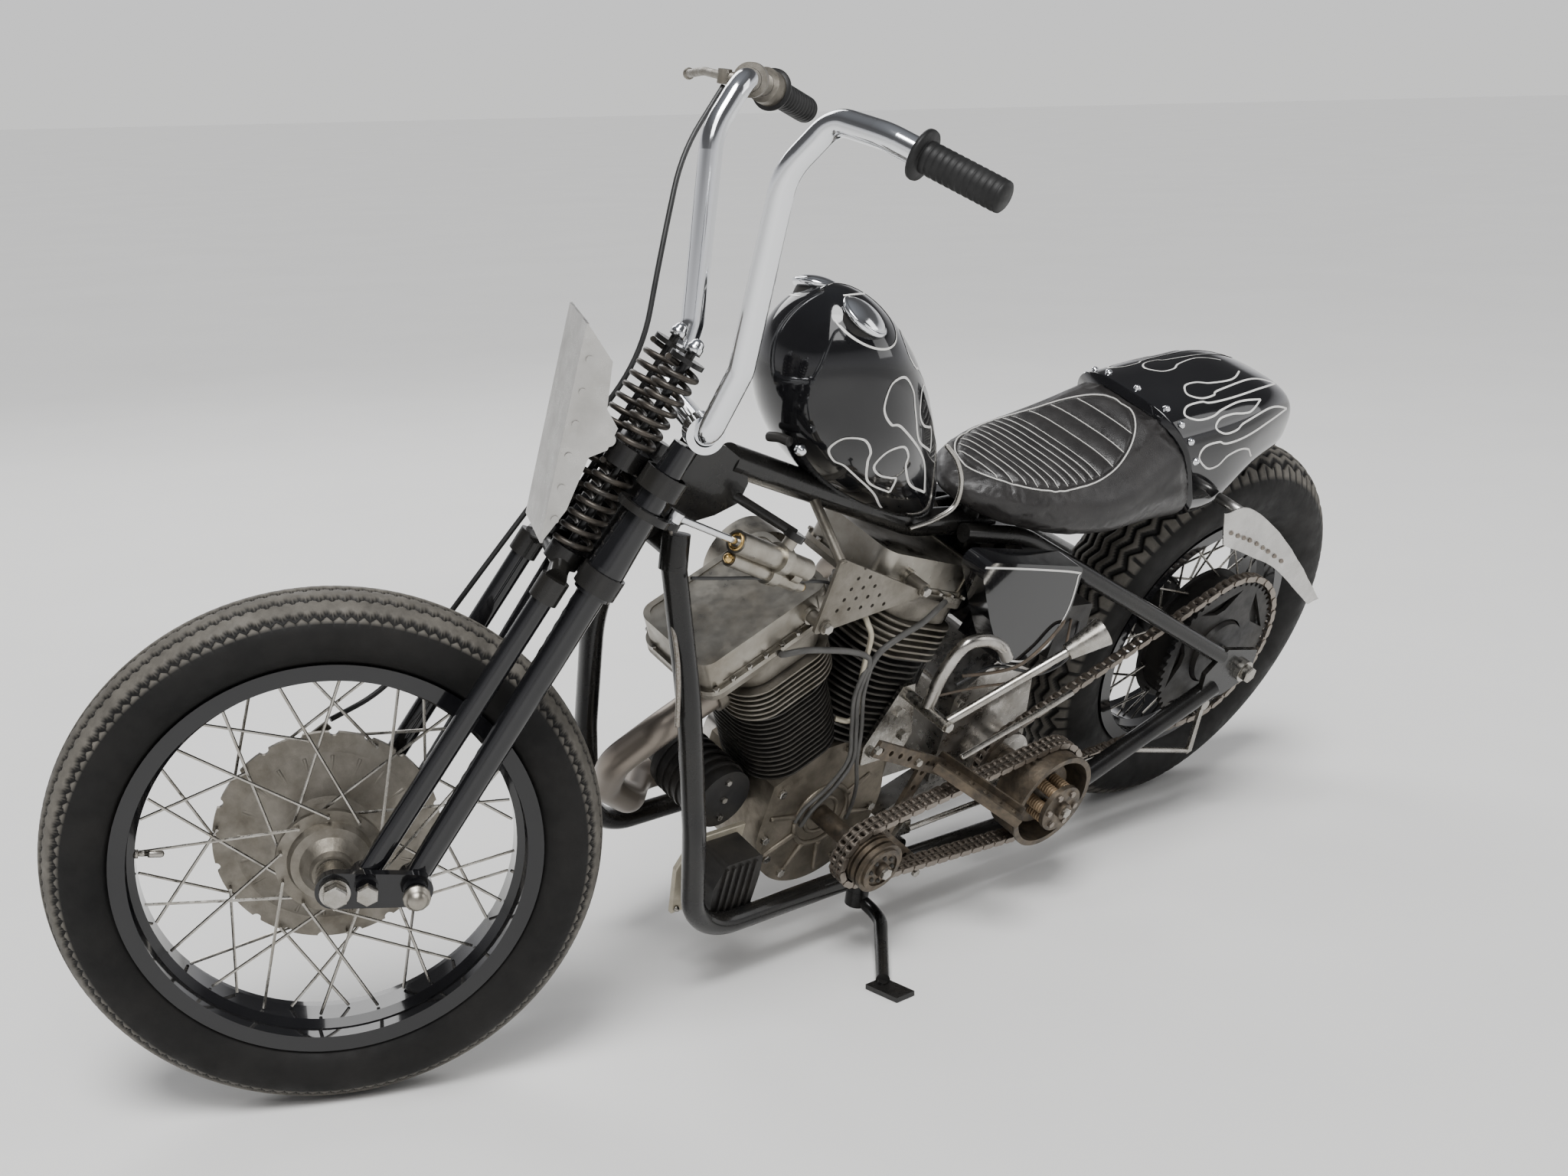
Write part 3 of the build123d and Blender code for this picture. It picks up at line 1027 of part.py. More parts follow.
# Side stand: it swings about a pin under the left rail, and its foot lies flat on the ground
stand_up = Vector(0, -0.165, 0.986)
pivot = Vector(*STAND_PIVOT)
frame_parts["stand_bracket"] = rod(pivot + stand_up * 12.3, pivot + stand_up * 35, STAND_EYE_D) - left_pieces["downtube"]
stand_pivot = park_point(STAND_PIVOT)
STAND_AXIS_WORLD = park_point(pivot + stand_up * 1000) - stand_pivot
STAND_RANGE = [0, STAND_TURN]
stand_foot = Vector(STAND_FOOT_FORWARD, STAND_FOOT_OUT, 0)
leg_end = stand_foot + Vector(-2, -16, STAND_D / 2 + 2)
knee = park_point((752, 168, 84))
stand = park(rod(pivot - stand_up * 12, pivot + stand_up * 12, STAND_EYE_D))
stand += bent_tube([stand_pivot, knee, leg_end], [40], STAND_D)
stand += Box(34, 62, FOOT_THICK, align=(Align.CENTER, Align.CENTER, Align.MIN)).translate(stand_foot)
stand += rod(stand_foot + Vector(-2, -20, 4), leg_end, 14)
ground_parts["side_stand"] = stand

placed = {}
for name, piece in fork_parts.items():
    placed[name] = park(steer(piece))
for name, piece in frame_parts.items():
    placed[name] = park(piece)
for name, piece in rear_parts.items():
    placed[name] = park(piece)
placed["damper_body"] = park(damper_body)
placed["damper_rod"] = park(damper_rod)
for name, piece in ground_parts.items():
    placed[name] = piece

boxes = [piece.bounding_box() for piece in placed.values()]
left_x = min(box.min.X for box in boxes)
right_x = max(box.max.X for box in boxes)
low_y = min(box.min.Y for box in boxes)
high_y = max(box.max.Y for box in boxes)
low_z = min(box.min.Z for box in boxes)
ORIGIN = Vector((left_x + right_x) / 2, (low_y + high_y) / 2, low_z)

os.makedirs("parts", exist_ok=True)
for name, piece in placed.items():
    export_step(piece.translate(-ORIGIN), f"parts/{name}.step")
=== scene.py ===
"""Studio picture of a rigid-frame V-twin chopper with a springer fork, parked on its side stand.

Each sub-assembly is drawn on the upright motorcycle in millimetres (X ahead from the rear axle, Y to the
rider's left, Z up from the ground) and is leaned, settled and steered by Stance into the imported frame.
"""

import json
import logging
import math
from dataclasses import dataclass
from enum import Enum
from typing import Any, Optional, Sequence

import bmesh
import bpy
import numpy as np
from mathutils import Matrix, Vector
from mathutils.bvhtree import BVHTree

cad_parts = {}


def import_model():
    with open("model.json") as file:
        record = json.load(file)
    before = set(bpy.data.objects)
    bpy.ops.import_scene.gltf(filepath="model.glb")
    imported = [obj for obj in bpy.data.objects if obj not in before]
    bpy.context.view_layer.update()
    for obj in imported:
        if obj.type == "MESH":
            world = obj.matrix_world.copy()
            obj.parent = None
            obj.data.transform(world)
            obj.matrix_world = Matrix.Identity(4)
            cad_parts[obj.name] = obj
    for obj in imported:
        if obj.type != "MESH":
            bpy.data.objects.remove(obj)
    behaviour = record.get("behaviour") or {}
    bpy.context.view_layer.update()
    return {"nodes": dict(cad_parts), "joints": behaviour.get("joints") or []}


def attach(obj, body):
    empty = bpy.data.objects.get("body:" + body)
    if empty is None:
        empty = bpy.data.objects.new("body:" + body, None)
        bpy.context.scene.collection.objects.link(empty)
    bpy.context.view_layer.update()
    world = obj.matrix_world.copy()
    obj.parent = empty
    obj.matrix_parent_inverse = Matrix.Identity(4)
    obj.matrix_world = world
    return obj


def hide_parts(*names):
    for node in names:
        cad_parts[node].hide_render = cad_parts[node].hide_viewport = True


LOG = logging.getLogger("chopper")
Array = np.ndarray
Colour = tuple[float, float, float]
Point = tuple[float, float, float]
Profile = tuple[tuple[float, float], ...]
Seats = tuple[tuple[float, ...], ...]

MILLIMETRES = 1000.0
LEFTWARD: Point = (0.0, 1.0, 0.0)
RIGHTWARD: Point = (0.0, -1.0, 0.0)
FORK_UP: Point = (-0.454, 0.0, 0.891)
DAMPER_WAY: Point = (0.8909, 0.0293, 0.4536)
DAMPER_BACK: Point = (-0.8909, -0.0293, -0.4536)


class Grain(Enum):
    """The fine relief of a finish."""

    SMOOTH = "smooth"
    CAST = "cast"
    BRUSHED = "brushed"
    LEATHER = "leather"
    RUBBER = "rubber"
    RUST = "rust"


GRAIN_SCALE = {
    Grain.CAST: 340.0, Grain.BRUSHED: 60.0, Grain.RUBBER: 520.0, Grain.RUST: 190.0, Grain.LEATHER: 420.0}
BLEND_HALF = 0.22
COAT_ROUGHNESS = 0.04
SMEAR_SHARE = 3.1
DUST_SCALE = 26.0
BRUSH_STRETCH = (1.0, 1.0, 26.0)
BUMP_DISTANCE = 0.001


@dataclass(frozen=True)
class Finish:
    """One procedural finish: a base colour that wanders towards a second one, with its own relief and gloss.

    patch is the number of colour patches in a metre, share is where the first colour gives way to the second,
    and worn is the dust's colour where the piece's wear attribute is high.
    """

    name: str
    colour: Colour
    second: Colour
    metallic: float = 0.0
    roughness: float = 0.4
    spread: float = 0.1
    patch: float = 6.0
    share: float = 0.5
    grain: Grain = Grain.SMOOTH
    relief: float = 0.1
    coat: float = 0.0
    worn: Optional[Colour] = None
    specular: float = 0.5

    def build(self) -> bpy.types.Material:
        """Makes the node material once and returns it.

        Returns:
            The material: noise on Object coordinates drives colour, gloss and bump.
        """
        found = bpy.data.materials.get(self.name)
        if found is not None:
            return found
        material = bpy.data.materials.new(self.name)
        material.use_nodes = True
        tree = material.node_tree
        shader = tree.nodes["Principled BSDF"]
        shader.inputs["Metallic"].default_value = self.metallic
        shader.inputs["Coat Weight"].default_value = self.coat
        shader.inputs["Coat Roughness"].default_value = COAT_ROUGHNESS
        shader.inputs["Specular IOR Level"].default_value = self.specular
        place = tree.nodes.new("ShaderNodeTexCoord")
        patches = self._noise(tree, place, self.patch, 6.0, 0.62)
        band = tree.nodes.new("ShaderNodeValToRGB")
        band.color_ramp.elements[0].position = max(0.0, self.share - BLEND_HALF)
        band.color_ramp.elements[0].color = (*self.colour, 1.0)
        band.color_ramp.elements[1].position = min(1.0, self.share + BLEND_HALF)
        band.color_ramp.elements[1].color = (*self.second, 1.0)
        tree.links.new(patches.outputs["Fac"], band.inputs["Fac"])
        if self.worn is None:
            tree.links.new(band.outputs["Color"], shader.inputs["Base Color"])
        else:
            self._wear(tree, place, band, shader)
        gloss = tree.nodes.new("ShaderNodeMapRange")
        gloss.inputs["From Min"].default_value = 0.3
        gloss.inputs["From Max"].default_value = 0.7
        gloss.inputs["To Min"].default_value = max(0.02, self.roughness - self.spread)
        gloss.inputs["To Max"].default_value = min(1.0, self.roughness + self.spread)
        smear = self._noise(tree, place, self.patch * SMEAR_SHARE, 5.0, 0.6)
        tree.links.new(smear.outputs["Fac"], gloss.inputs["Value"])
        tree.links.new(gloss.outputs["Result"], shader.inputs["Roughness"])
        if self.grain is not Grain.SMOOTH:
            self._relief(tree, place, shader)
        return material

    def _wear(self, tree: bpy.types.NodeTree, place: bpy.types.Node, band: bpy.types.Node,
              shader: bpy.types.Node) -> None:
        """Mixes in the worn colour where the piece's wear attribute is high and the dust is thick.

        Args:
            tree: The material's nodes.
            place: Its Texture Coordinate node.
            band: The node that gives the plain colour.
            shader: The surface shader.
        """
        wear = tree.nodes.new("ShaderNodeAttribute")
        wear.attribute_name = "wear"
        dust = self._noise(tree, place, DUST_SCALE, 5.0, 0.7)
        amount = tree.nodes.new("ShaderNodeMath")
        amount.operation = "MULTIPLY"
        tree.links.new(wear.outputs["Fac"], amount.inputs[0])
        tree.links.new(dust.outputs["Fac"], amount.inputs[1])
        mix = tree.nodes.new("ShaderNodeMix")
        mix.data_type = "RGBA"
        mix.inputs["B"].default_value = (*self.worn, 1.0)
        tree.links.new(amount.outputs[0], mix.inputs["Factor"])
        tree.links.new(band.outputs["Color"], mix.inputs["A"])
        tree.links.new(mix.outputs["Result"], shader.inputs["Base Color"])

    @staticmethod
    def _noise(tree: bpy.types.NodeTree, place: bpy.types.Node, scale: float, detail: float,
               roughness: float) -> bpy.types.Node:
        """A noise texture on Object coordinates.

        Args:
            tree: The material's nodes.
            place: Its Texture Coordinate node.
            scale: Repeats per metre.
            detail: Octaves.
            roughness: Weight of the finer octaves.

        Returns:
            The noise node.
        """
        noise = tree.nodes.new("ShaderNodeTexNoise")
        noise.inputs["Scale"].default_value = scale
        noise.inputs["Detail"].default_value = detail
        noise.inputs["Roughness"].default_value = roughness
        tree.links.new(place.outputs["Object"], noise.inputs["Vector"])
        return noise

    def _relief(self, tree: bpy.types.NodeTree, place: bpy.types.Node, shader: bpy.types.Node) -> None:
        """Adds the bump that the grain asks for.

        Args:
            tree: The material's nodes.
            place: Its Texture Coordinate node.
            shader: The surface shader.
        """
        bump = tree.nodes.new("ShaderNodeBump")
        bump.inputs["Strength"].default_value = self.relief
        bump.inputs["Distance"].default_value = BUMP_DISTANCE
        if self.grain is Grain.LEATHER:
            cells = tree.nodes.new("ShaderNodeTexVoronoi")
            cells.feature = "DISTANCE_TO_EDGE"
            cells.inputs["Scale"].default_value = GRAIN_SCALE[self.grain]
            tree.links.new(place.outputs["Object"], cells.inputs["Vector"])
            tree.links.new(cells.outputs["Distance"], bump.inputs["Height"])
        else:
            fine = self._noise(tree, place, GRAIN_SCALE[self.grain], 4.0, 0.65)
            if self.grain is Grain.BRUSHED:
                stretch = tree.nodes.new("ShaderNodeMapping")
                stretch.inputs["Scale"].default_value = BRUSH_STRETCH
                tree.links.new(place.outputs["Object"], stretch.inputs["Vector"])
                tree.links.new(stretch.outputs["Vector"], fine.inputs["Vector"])
            tree.links.new(fine.outputs["Fac"], bump.inputs["Height"])
        tree.links.new(bump.outputs["Normal"], shader.inputs["Normal"])


def linked(name: str, data: bpy.types.ID) -> bpy.types.Object:
    """Makes an object and puts it into the scene.

    Args:
        name: The object's name.
        data: Its mesh, light or camera.

    Returns:
        The object.
    """
    made = bpy.data.objects.new(name, data)
    bpy.context.scene.collection.objects.link(made)
    return made


def full_turn(count: int) -> Array:
    """Equal angles round a circle in radians, without the last one that meets the first."""
    return np.linspace(0, 2 * math.pi, count, endpoint=False)


GLOSS_BLACK = Finish("gloss_black", (0.005, 0.005, 0.006), (0.01, 0.01, 0.011), 0.0, 0.1, 0.04, 5.0,
                     coat=0.6, specular=0.25)
FRAME_BLACK = Finish("frame_black", (0.006, 0.006, 0.007), (0.016, 0.015, 0.013), 0.0, 0.26, 0.08, 9.0,
                     coat=0.25, specular=0.25)
SATIN_BLACK = Finish("satin_black", (0.012, 0.012, 0.013), (0.035, 0.032, 0.028), 0.0, 0.46, 0.12, 14.0,
                     grain=Grain.CAST, specular=0.25)
POLISHED = Finish("polished_alloy", (0.58, 0.56, 0.53), (0.3, 0.28, 0.25), 1.0, 0.3, 0.14, 16.0)
SATIN_ALLOY = Finish("aged_cover_alloy", (0.44, 0.42, 0.375), (0.25, 0.225, 0.185), 1.0, 0.36, 0.12, 15.0,
                     grain=Grain.CAST, relief=0.12)
CAST_ALLOY = Finish("cast_alloy", (0.3, 0.28, 0.245), (0.14, 0.125, 0.1), 0.9, 0.48, 0.12, 22.0,
                    grain=Grain.CAST, relief=0.35)
WARM_CASE = Finish("warm_case_alloy", (0.3, 0.265, 0.215), (0.13, 0.115, 0.09), 0.9, 0.46, 0.12, 20.0,
                   grain=Grain.CAST, relief=0.3)
SHEET_ALLOY = Finish("sheet_alloy", (0.62, 0.61, 0.59), (0.42, 0.41, 0.39), 1.0, 0.32, 0.14, 12.0,
                     grain=Grain.BRUSHED, relief=0.12)
CHROME = Finish("chrome", (0.54, 0.52, 0.48), (0.4, 0.38, 0.34), 1.0, 0.07, 0.05, 12.0)
BRIGHT_STEEL = Finish("bright_steel", (0.48, 0.465, 0.435), (0.28, 0.26, 0.225), 1.0, 0.28, 0.1, 40.0)
DARK_STEEL = Finish("dark_steel", (0.1, 0.09, 0.08), (0.2, 0.15, 0.105), 0.8, 0.48, 0.14, 45.0,
                    grain=Grain.RUST, relief=0.3)
SPRING_STEEL = Finish("spring_steel", (0.028, 0.026, 0.024), (0.08, 0.068, 0.055), 0.6, 0.42, 0.1, 60.0,
                      grain=Grain.RUST, relief=0.2)
DUSTY_STEEL = Finish("dusty_steel", (0.045, 0.04, 0.035), (0.17, 0.135, 0.095), 0.7, 0.46, 0.12, 50.0,
                     grain=Grain.RUST, relief=0.35)
IRON = Finish("fin_iron", (0.03, 0.029, 0.028), (0.085, 0.078, 0.067), 0.6, 0.5, 0.14, 24.0,
              grain=Grain.CAST, relief=0.4)
TYRE = Finish("tyre_rubber", (0.006, 0.006, 0.006), (0.015, 0.014, 0.013), 0.0, 0.62, 0.12, 10.0,
              grain=Grain.RUBBER, relief=0.25, worn=(0.2, 0.185, 0.16), specular=0.18)
STRIPE = Finish("white_line_paint", (0.8, 0.79, 0.76), (0.7, 0.69, 0.66), 0.0, 0.35, 0.08, 30.0)
# Pale piping colour; on the seat's roll seams it also stands in for a painted highlight along the roll edges.
PIPING_AND_HIGHLIGHT = Finish("pale_piping_and_painted_highlight", (0.66, 0.65, 0.62), (0.5, 0.49, 0.46), 0.0, 0.5, 0.1, 60.0)
BRASS = Finish("gold_brass", (0.72, 0.5, 0.2), (0.5, 0.34, 0.13), 1.0, 0.32, 0.1, 60.0)
TAN = Finish("tan_sleeve", (0.34, 0.24, 0.14), (0.2, 0.14, 0.085), 0.4, 0.5, 0.1, 80.0)
CREAM = Finish("cream_alloy", (0.62, 0.58, 0.47), (0.42, 0.37, 0.28), 0.5, 0.45, 0.1, 30.0,
               grain=Grain.CAST, relief=0.2)
GREY_HOSE = Finish("grey_hose", (0.1, 0.098, 0.092), (0.055, 0.053, 0.05), 0.0, 0.5, 0.1, 40.0)
BRAID = Finish("steel_braid", (0.42, 0.4, 0.37), (0.16, 0.13, 0.1), 1.0, 0.4, 0.1, 500.0, grain=Grain.RUST,
               relief=0.4)
WIRE = Finish("dusty_wire", (0.12, 0.085, 0.055), (0.05, 0.04, 0.03), 0.0, 0.6, 0.1, 60.0)
RUBBER = Finish("black_rubber", (0.008, 0.008, 0.008), (0.02, 0.02, 0.02), 0.0, 0.5, 0.1, 30.0,
                grain=Grain.RUBBER, specular=0.25)
LEATHER = Finish("black_leather", (0.014, 0.013, 0.013), (0.03, 0.028, 0.027), 0.0, 0.36, 0.1, 20.0,
                 grain=Grain.LEATHER, relief=0.3, specular=0.4)
CABLE = Finish("cable_sheath", (0.012, 0.012, 0.012), (0.025, 0.025, 0.025), 0.0, 0.4, 0.08, 30.0)

NODE_FINISH: dict[str, Finish] = {name: finish for finish, names in (
    (TYRE, ("front_tyre", "rear_tyre")),
    (GLOSS_BLACK, ("front_rim", "rear_rim", "rockers", "fork_legs", "oil_tank", "fuel_tank", "tail_cowl")),
    (FRAME_BLACK, (
        "fork_crowns", "spring_yoke", "steering_neck", "backbone", "left_downtube", "right_downtube",
        "left_lower_stay", "right_lower_stay", "left_upper_stay", "right_upper_stay", "stand_bracket",
        "side_stand")),
    (SATIN_BLACK, ("rear_hub", "rear_sprocket", "generator", "regulator", "electrics_tray")),
    (BRIGHT_STEEL, (
        "front_spokes", "rear_spokes", "front_axle", "rear_axle", "jockey_lever", "rear_brake_arm")),
    (CAST_ALLOY, ("front_hub", "brake_plate", "brake_lever", "cylinder_heads", "head_brace")),
    (SATIN_ALLOY, ("rocker_covers", "carburettor", "damper_body")),
    (SHEET_ALLOY, ("number_plate", "side_plate")),
    (POLISHED, ("cam_cover", "gearbox")),
    (CHROME, ("handlebar", "tank_caps", "damper_rod")),
    (DARK_STEEL, ("rear_chain", "primary_chain", "exhaust_pipes")),
    (DUSTY_STEEL, ("primary_drive", "foot_controls")),
    (SPRING_STEEL, ("fork_springs",)),
    (WARM_CASE, ("crankcase",)),
    (IRON, ("cylinders",)),
    (RUBBER, ("grips",)),
    (CABLE, ("brake_cable",)),
    (LEATHER, ("seat_pad",)),
) for name in names}


@dataclass(frozen=True)
class Groove:
    """A zigzag groove round a tyre: its middle (share of the half width), sway, waves, half width and depth."""

    middle: float
    sway: float
    waves: int
    half: float
    depth: float


class Tread(Enum):
    """The grooves of each tyre."""

    SAWTOOTH = tuple(Groove(middle, 2.0, 140, 2.6, depth) for middle, depth in (
        (-0.78, 4.6), (-0.4, 5.0), (0.0, 5.0), (0.4, 5.0), (0.78, 4.6)))
    BLOCK = tuple(Groove(middle, sway, 52, half, 5.5) for middle, sway, half in (
        (-0.6, 5.0, 3.8), (-0.34, 4.0, 3.2), (-0.1, 4.0, 3.2), (0.14, 4.0, 3.2), (0.38, 4.0, 3.2),
        (0.62, 5.0, 3.8)))


class Stance:
    """Carries points of the upright motorcycle, in millimetres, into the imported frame, in metres."""

    AXLE_HEIGHT = 340.0
    STEER_REST = 30.4
    RAKE = 27.0

    def __init__(self, joints: Sequence[dict[str, Any]]) -> None:
        """Reads the wheel and steering axes.

        Args:
            joints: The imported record's joints.
        """
        by_name = {joint["name"]: joint for joint in joints}
        rear, steering = by_name["rear_wheel_spin"], by_name["steering"]
        side = np.array(rear["axis"], float)
        up_axis = np.array(steering["axis"], float)
        ahead = np.cross(side, up_axis)
        rake = math.radians(self.RAKE)
        forward = math.cos(rake) * ahead - math.sin(rake) * up_axis
        upward = math.sin(rake) * ahead + math.cos(rake) * up_axis
        self.turn = np.stack([forward, side, upward], axis=1)
        self.axle = np.array(rear["pos_m"], float)
        self.steer_point = np.array(steering["pos_m"], float)
        self.steer_turn = self._about(up_axis, -math.radians(self.STEER_REST))

    @staticmethod
    def _about(axis: Array, angle: float) -> Array:
        """The matrix that turns points about an axis.

        Args:
            axis: The axis.
            angle: Radians.

        Returns:
            1 + sin(angle) K + (1 - cos(angle)) K K, where K is the axis's cross product as a matrix.
        """
        x, y, z = axis / np.linalg.norm(axis)
        cross = np.array([[0, -z, y], [z, 0, -x], [-y, x, 0]])
        return np.eye(3) + math.sin(angle) * cross + (1 - math.cos(angle)) * cross @ cross

    def frame(self, points: Array) -> Array:
        """Places points of the frame, engine and rear wheel.

        Args:
            points: Rows of (x, y, z) on the upright motorcycle, in millimetres.

        Returns:
            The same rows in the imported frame, in metres: turned axes times the offset from the rear axle.
        """
        offset = (np.asarray(points, float) - np.array([0.0, 0.0, self.AXLE_HEIGHT])) / MILLIMETRES
        return offset @ self.turn.T + self.axle

    def back(self, points: Array) -> Array:
        """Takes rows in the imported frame, in metres, back to millimetres on the upright motorcycle."""
        offset = (np.asarray(points, float) - self.axle) @ self.turn * MILLIMETRES
        return offset + np.array([0.0, 0.0, self.AXLE_HEIGHT])

    def fork(self, points: Array) -> Array:
        """Places points of the steered group, turned with the fork.

        Args:
            points: Rows of (x, y, z) on the upright motorcycle with its fork straight ahead, in millimetres.

        Returns:
            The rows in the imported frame, in metres.
        """
        return (self.frame(points) - self.steer_point) @ self.steer_turn.T + self.steer_point


@dataclass
class Studio:
    """Camera, floor and lights."""

    lens: float = 47.246
    offset: Point = (2.7092, 2.1021, 0.9207)
    right: Point = (-0.74917054, 0.66202808, -0.02150159)
    up: Point = (-0.17769327, -0.16959969, 0.96936115)
    back: Point = (0.63809764, 0.73003751, 0.24469703)
    floor_half: float = 60.0
    horizon: Profile = ((0.08, 0.95), (0.24, 0.55), (0.32, 0.12), (0.6, 0.1))
    sun_way: Point = (-0.5, -0.45, -1.35)
    sun_power: float = 2.9
    sun_degrees: float = 24.0
    low_sky: Colour = (0.95, 0.95, 0.94)
    high_sky: Colour = (0.24, 0.25, 0.27)
    sky_power: float = 0.95
    aimed_at: Point = (0.0, 0.0, 0.5)
    sensor: float = 36.0
    view_end: float = 60.0
    panels: tuple[tuple[str, Point, float, float], ...] = (
        ("key", (2.6, 2.4, 4.4), 2.6, 120.0), ("fill", (-3.8, 3.4, 3.0), 3.0, 60.0),
        ("rim", (-1.0, -4.2, 3.6), 2.6, 90.0))

    def camera(self, stance: Stance) -> None:
        """Puts the camera where the photograph was taken.

        Args:
            stance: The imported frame's places.
        """
        data = bpy.data.cameras.new("camera")
        data.lens, data.sensor_width, data.clip_end = self.lens, self.sensor, self.view_end
        camera = linked("camera", data)
        matrix = Matrix((self.right, self.up, self.back)).transposed().to_4x4()
        matrix.translation = Vector(stance.axle) + Vector(self.offset)
        camera.matrix_world = matrix
        bpy.context.scene.camera = camera

    def floor(self) -> None:
        """A wide pale floor that the object stands on."""
        half = self.floor_half
        mesh = bpy.data.meshes.new("floor")
        corners = [(-half, -half, 0), (half, -half, 0), (half, half, 0), (-half, half, 0)]
        mesh.from_pydata(corners, [], [(0, 1, 2, 3)])
        floor = linked("floor", mesh)
        grey = Finish("floor_pale", (0.82, 0.815, 0.8), (0.86, 0.855, 0.84), 0.0, 0.8, 0.05, 1.2)
        mesh.materials.append(grey.build())

    @staticmethod
    def _aim(lamp: bpy.types.Object, way: Vector) -> None:
        """Turns a lamp to shine along a direction."""
        lamp.rotation_mode = "QUATERNION"
        lamp.rotation_quaternion = way.to_track_quat("-Z", "Y")

    def lights(self) -> None:
        """Even soft daylight, three wide panels, and a world that is pale at eye height and darker overhead.

        The world's shade follows the height of the view's direction, through the steps of horizon.
        """
        world = bpy.data.worlds.new("studio")
        bpy.context.scene.world = world
        world.use_nodes = True
        tree = world.node_tree
        place = tree.nodes.new("ShaderNodeTexCoord")
        parts = tree.nodes.new("ShaderNodeSeparateXYZ")
        band = tree.nodes.new("ShaderNodeValToRGB")
        tree.links.new(place.outputs["Object"], parts.inputs["Vector"])
        tree.links.new(parts.outputs["Z"], band.inputs["Fac"])
        band.color_ramp.elements[0].position = 0.0
        band.color_ramp.elements[0].color = (*self.low_sky, 1.0)
        band.color_ramp.elements[1].position = 1.0
        band.color_ramp.elements[1].color = (*self.high_sky, 1.0)
        for position, shade in self.horizon:
            step = band.color_ramp.elements.new(position)
            step.color = (shade, shade, shade * 1.03, 1.0)
        tree.links.new(band.outputs["Color"], tree.nodes["Background"].inputs["Color"])
        tree.nodes["Background"].inputs["Strength"].default_value = self.sky_power
        daylight = bpy.data.lights.new("daylight", "SUN")
        daylight.energy, daylight.angle = self.sun_power, math.radians(self.sun_degrees)
        self._aim(linked("daylight", daylight), Vector(self.sun_way))
        for name, place, width, power in self.panels:
            data = bpy.data.lights.new(name, "AREA")
            data.shape, data.size, data.energy = "SQUARE", width, power
            lamp = linked(name, data)
            lamp.location = place
            self._aim(lamp, Vector(self.aimed_at) - Vector(place))

    def build(self, stance: Stance) -> None:
        """Sets up the whole studio.

        Args:
            stance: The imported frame's places.
        """
        self.camera(stance)
        self.floor()
        self.lights()
        LOG.info("studio ready")


def unit(rows: Array) -> Array:
    """Scales each row to length one."""
    rows = np.asarray(rows, float)
    return rows / np.maximum(np.linalg.norm(rows, axis=-1, keepdims=True), 1e-12)


def grid_faces(rows: int, columns: int, round_rows: bool = False, round_columns: bool = False) -> Array:
    """Quads over a grid of points that is stored row by row.

    Args:
        rows: Number of rows.
        columns: Points in a row.
        round_rows: True where the last row joins the first.
        round_columns: True where the last point of a row joins its first.

    Returns:
        Four point numbers for each quad.
    """
    down, over = np.arange(rows - (not round_rows)), np.arange(columns - (not round_columns))
    row, column = np.meshgrid(down, over, indexing="ij")
    next_row, next_column = (row + 1) % rows, (column + 1) % columns
    quads = [row * columns + column, row * columns + next_column, next_row * columns + next_column,
             next_row * columns + column]
    return np.stack(quads, axis=-1).reshape(-1, 4)


def smooth_path(points: Sequence[Sequence[float]], count: int = 60) -> Array:
    """A rounded line through points: the Catmull-Rom cubic between each pair.

    Args:
        points: The points that the line passes.
        count: Samples along it.

    Returns:
        Rows of coordinates, evenly spaced in the parameter.
    """
    knots = np.asarray(points, float)
    padded = np.vstack([2 * knots[0] - knots[1], knots, 2 * knots[-1] - knots[-2]])
    place = np.linspace(0, len(knots) - 1, count)
    index = np.minimum(place.astype(int), len(knots) - 2)
    t = (place - index)[:, None]
    a, b, c, d = (padded[index + step] for step in range(4))
    return 0.5 * (2 * b + (c - a) * t + (2 * a - 5 * b + 4 * c - d) * t ** 2 + (3 * b - a - 3 * c + d) * t ** 3)


@dataclass
class Shape:
    """Points and four-sided faces of one surface."""

    points: Array
    faces: Array

    @staticmethod
    def join(shapes: Sequence["Shape"]) -> "Shape":
        """Puts several surfaces into one.

        Args:
            shapes: The surfaces.

        Returns:
            One surface, its points in the same order.
        """
        starts = np.cumsum([0] + [len(shape.points) for shape in shapes[:-1]])
        points = np.vstack([shape.points for shape in shapes])
        faces = np.vstack([shape.faces + start for shape, start in zip(shapes, starts)])
        return Shape(points, faces)

    def outward(self) -> "Shape":
        """Turns the faces round where the volume that they enclose, a sum of triple products, is negative.

        Returns:
            The same surface.
        """
        corners = self.points[self.faces]
        first = np.einsum("ij,ij->i", corners[:, 0], np.cross(corners[:, 1], corners[:, 2])).sum()
        second = np.einsum("ij,ij->i", corners[:, 0], np.cross(corners[:, 2], corners[:, 3])).sum()
        if first + second < 0:
            self.faces = self.faces[:, ::-1]
        return self


def lofted(rings: Array) -> Shape:
    """Skins closed rings and shrinks a last ring onto the middle of each end.

    Args:
        rings: Points as (rings, points of a ring, 3).

    Returns:
        The closed form.
    """
    rings = np.concatenate([rings[:1].mean(axis=1, keepdims=True) + 0 * rings[:1], rings,
                            rings[-1:].mean(axis=1, keepdims=True) + 0 * rings[-1:]])
    return Shape(rings.reshape(-1, 3), grid_faces(rings.shape[0], rings.shape[1], False, True)).outward()


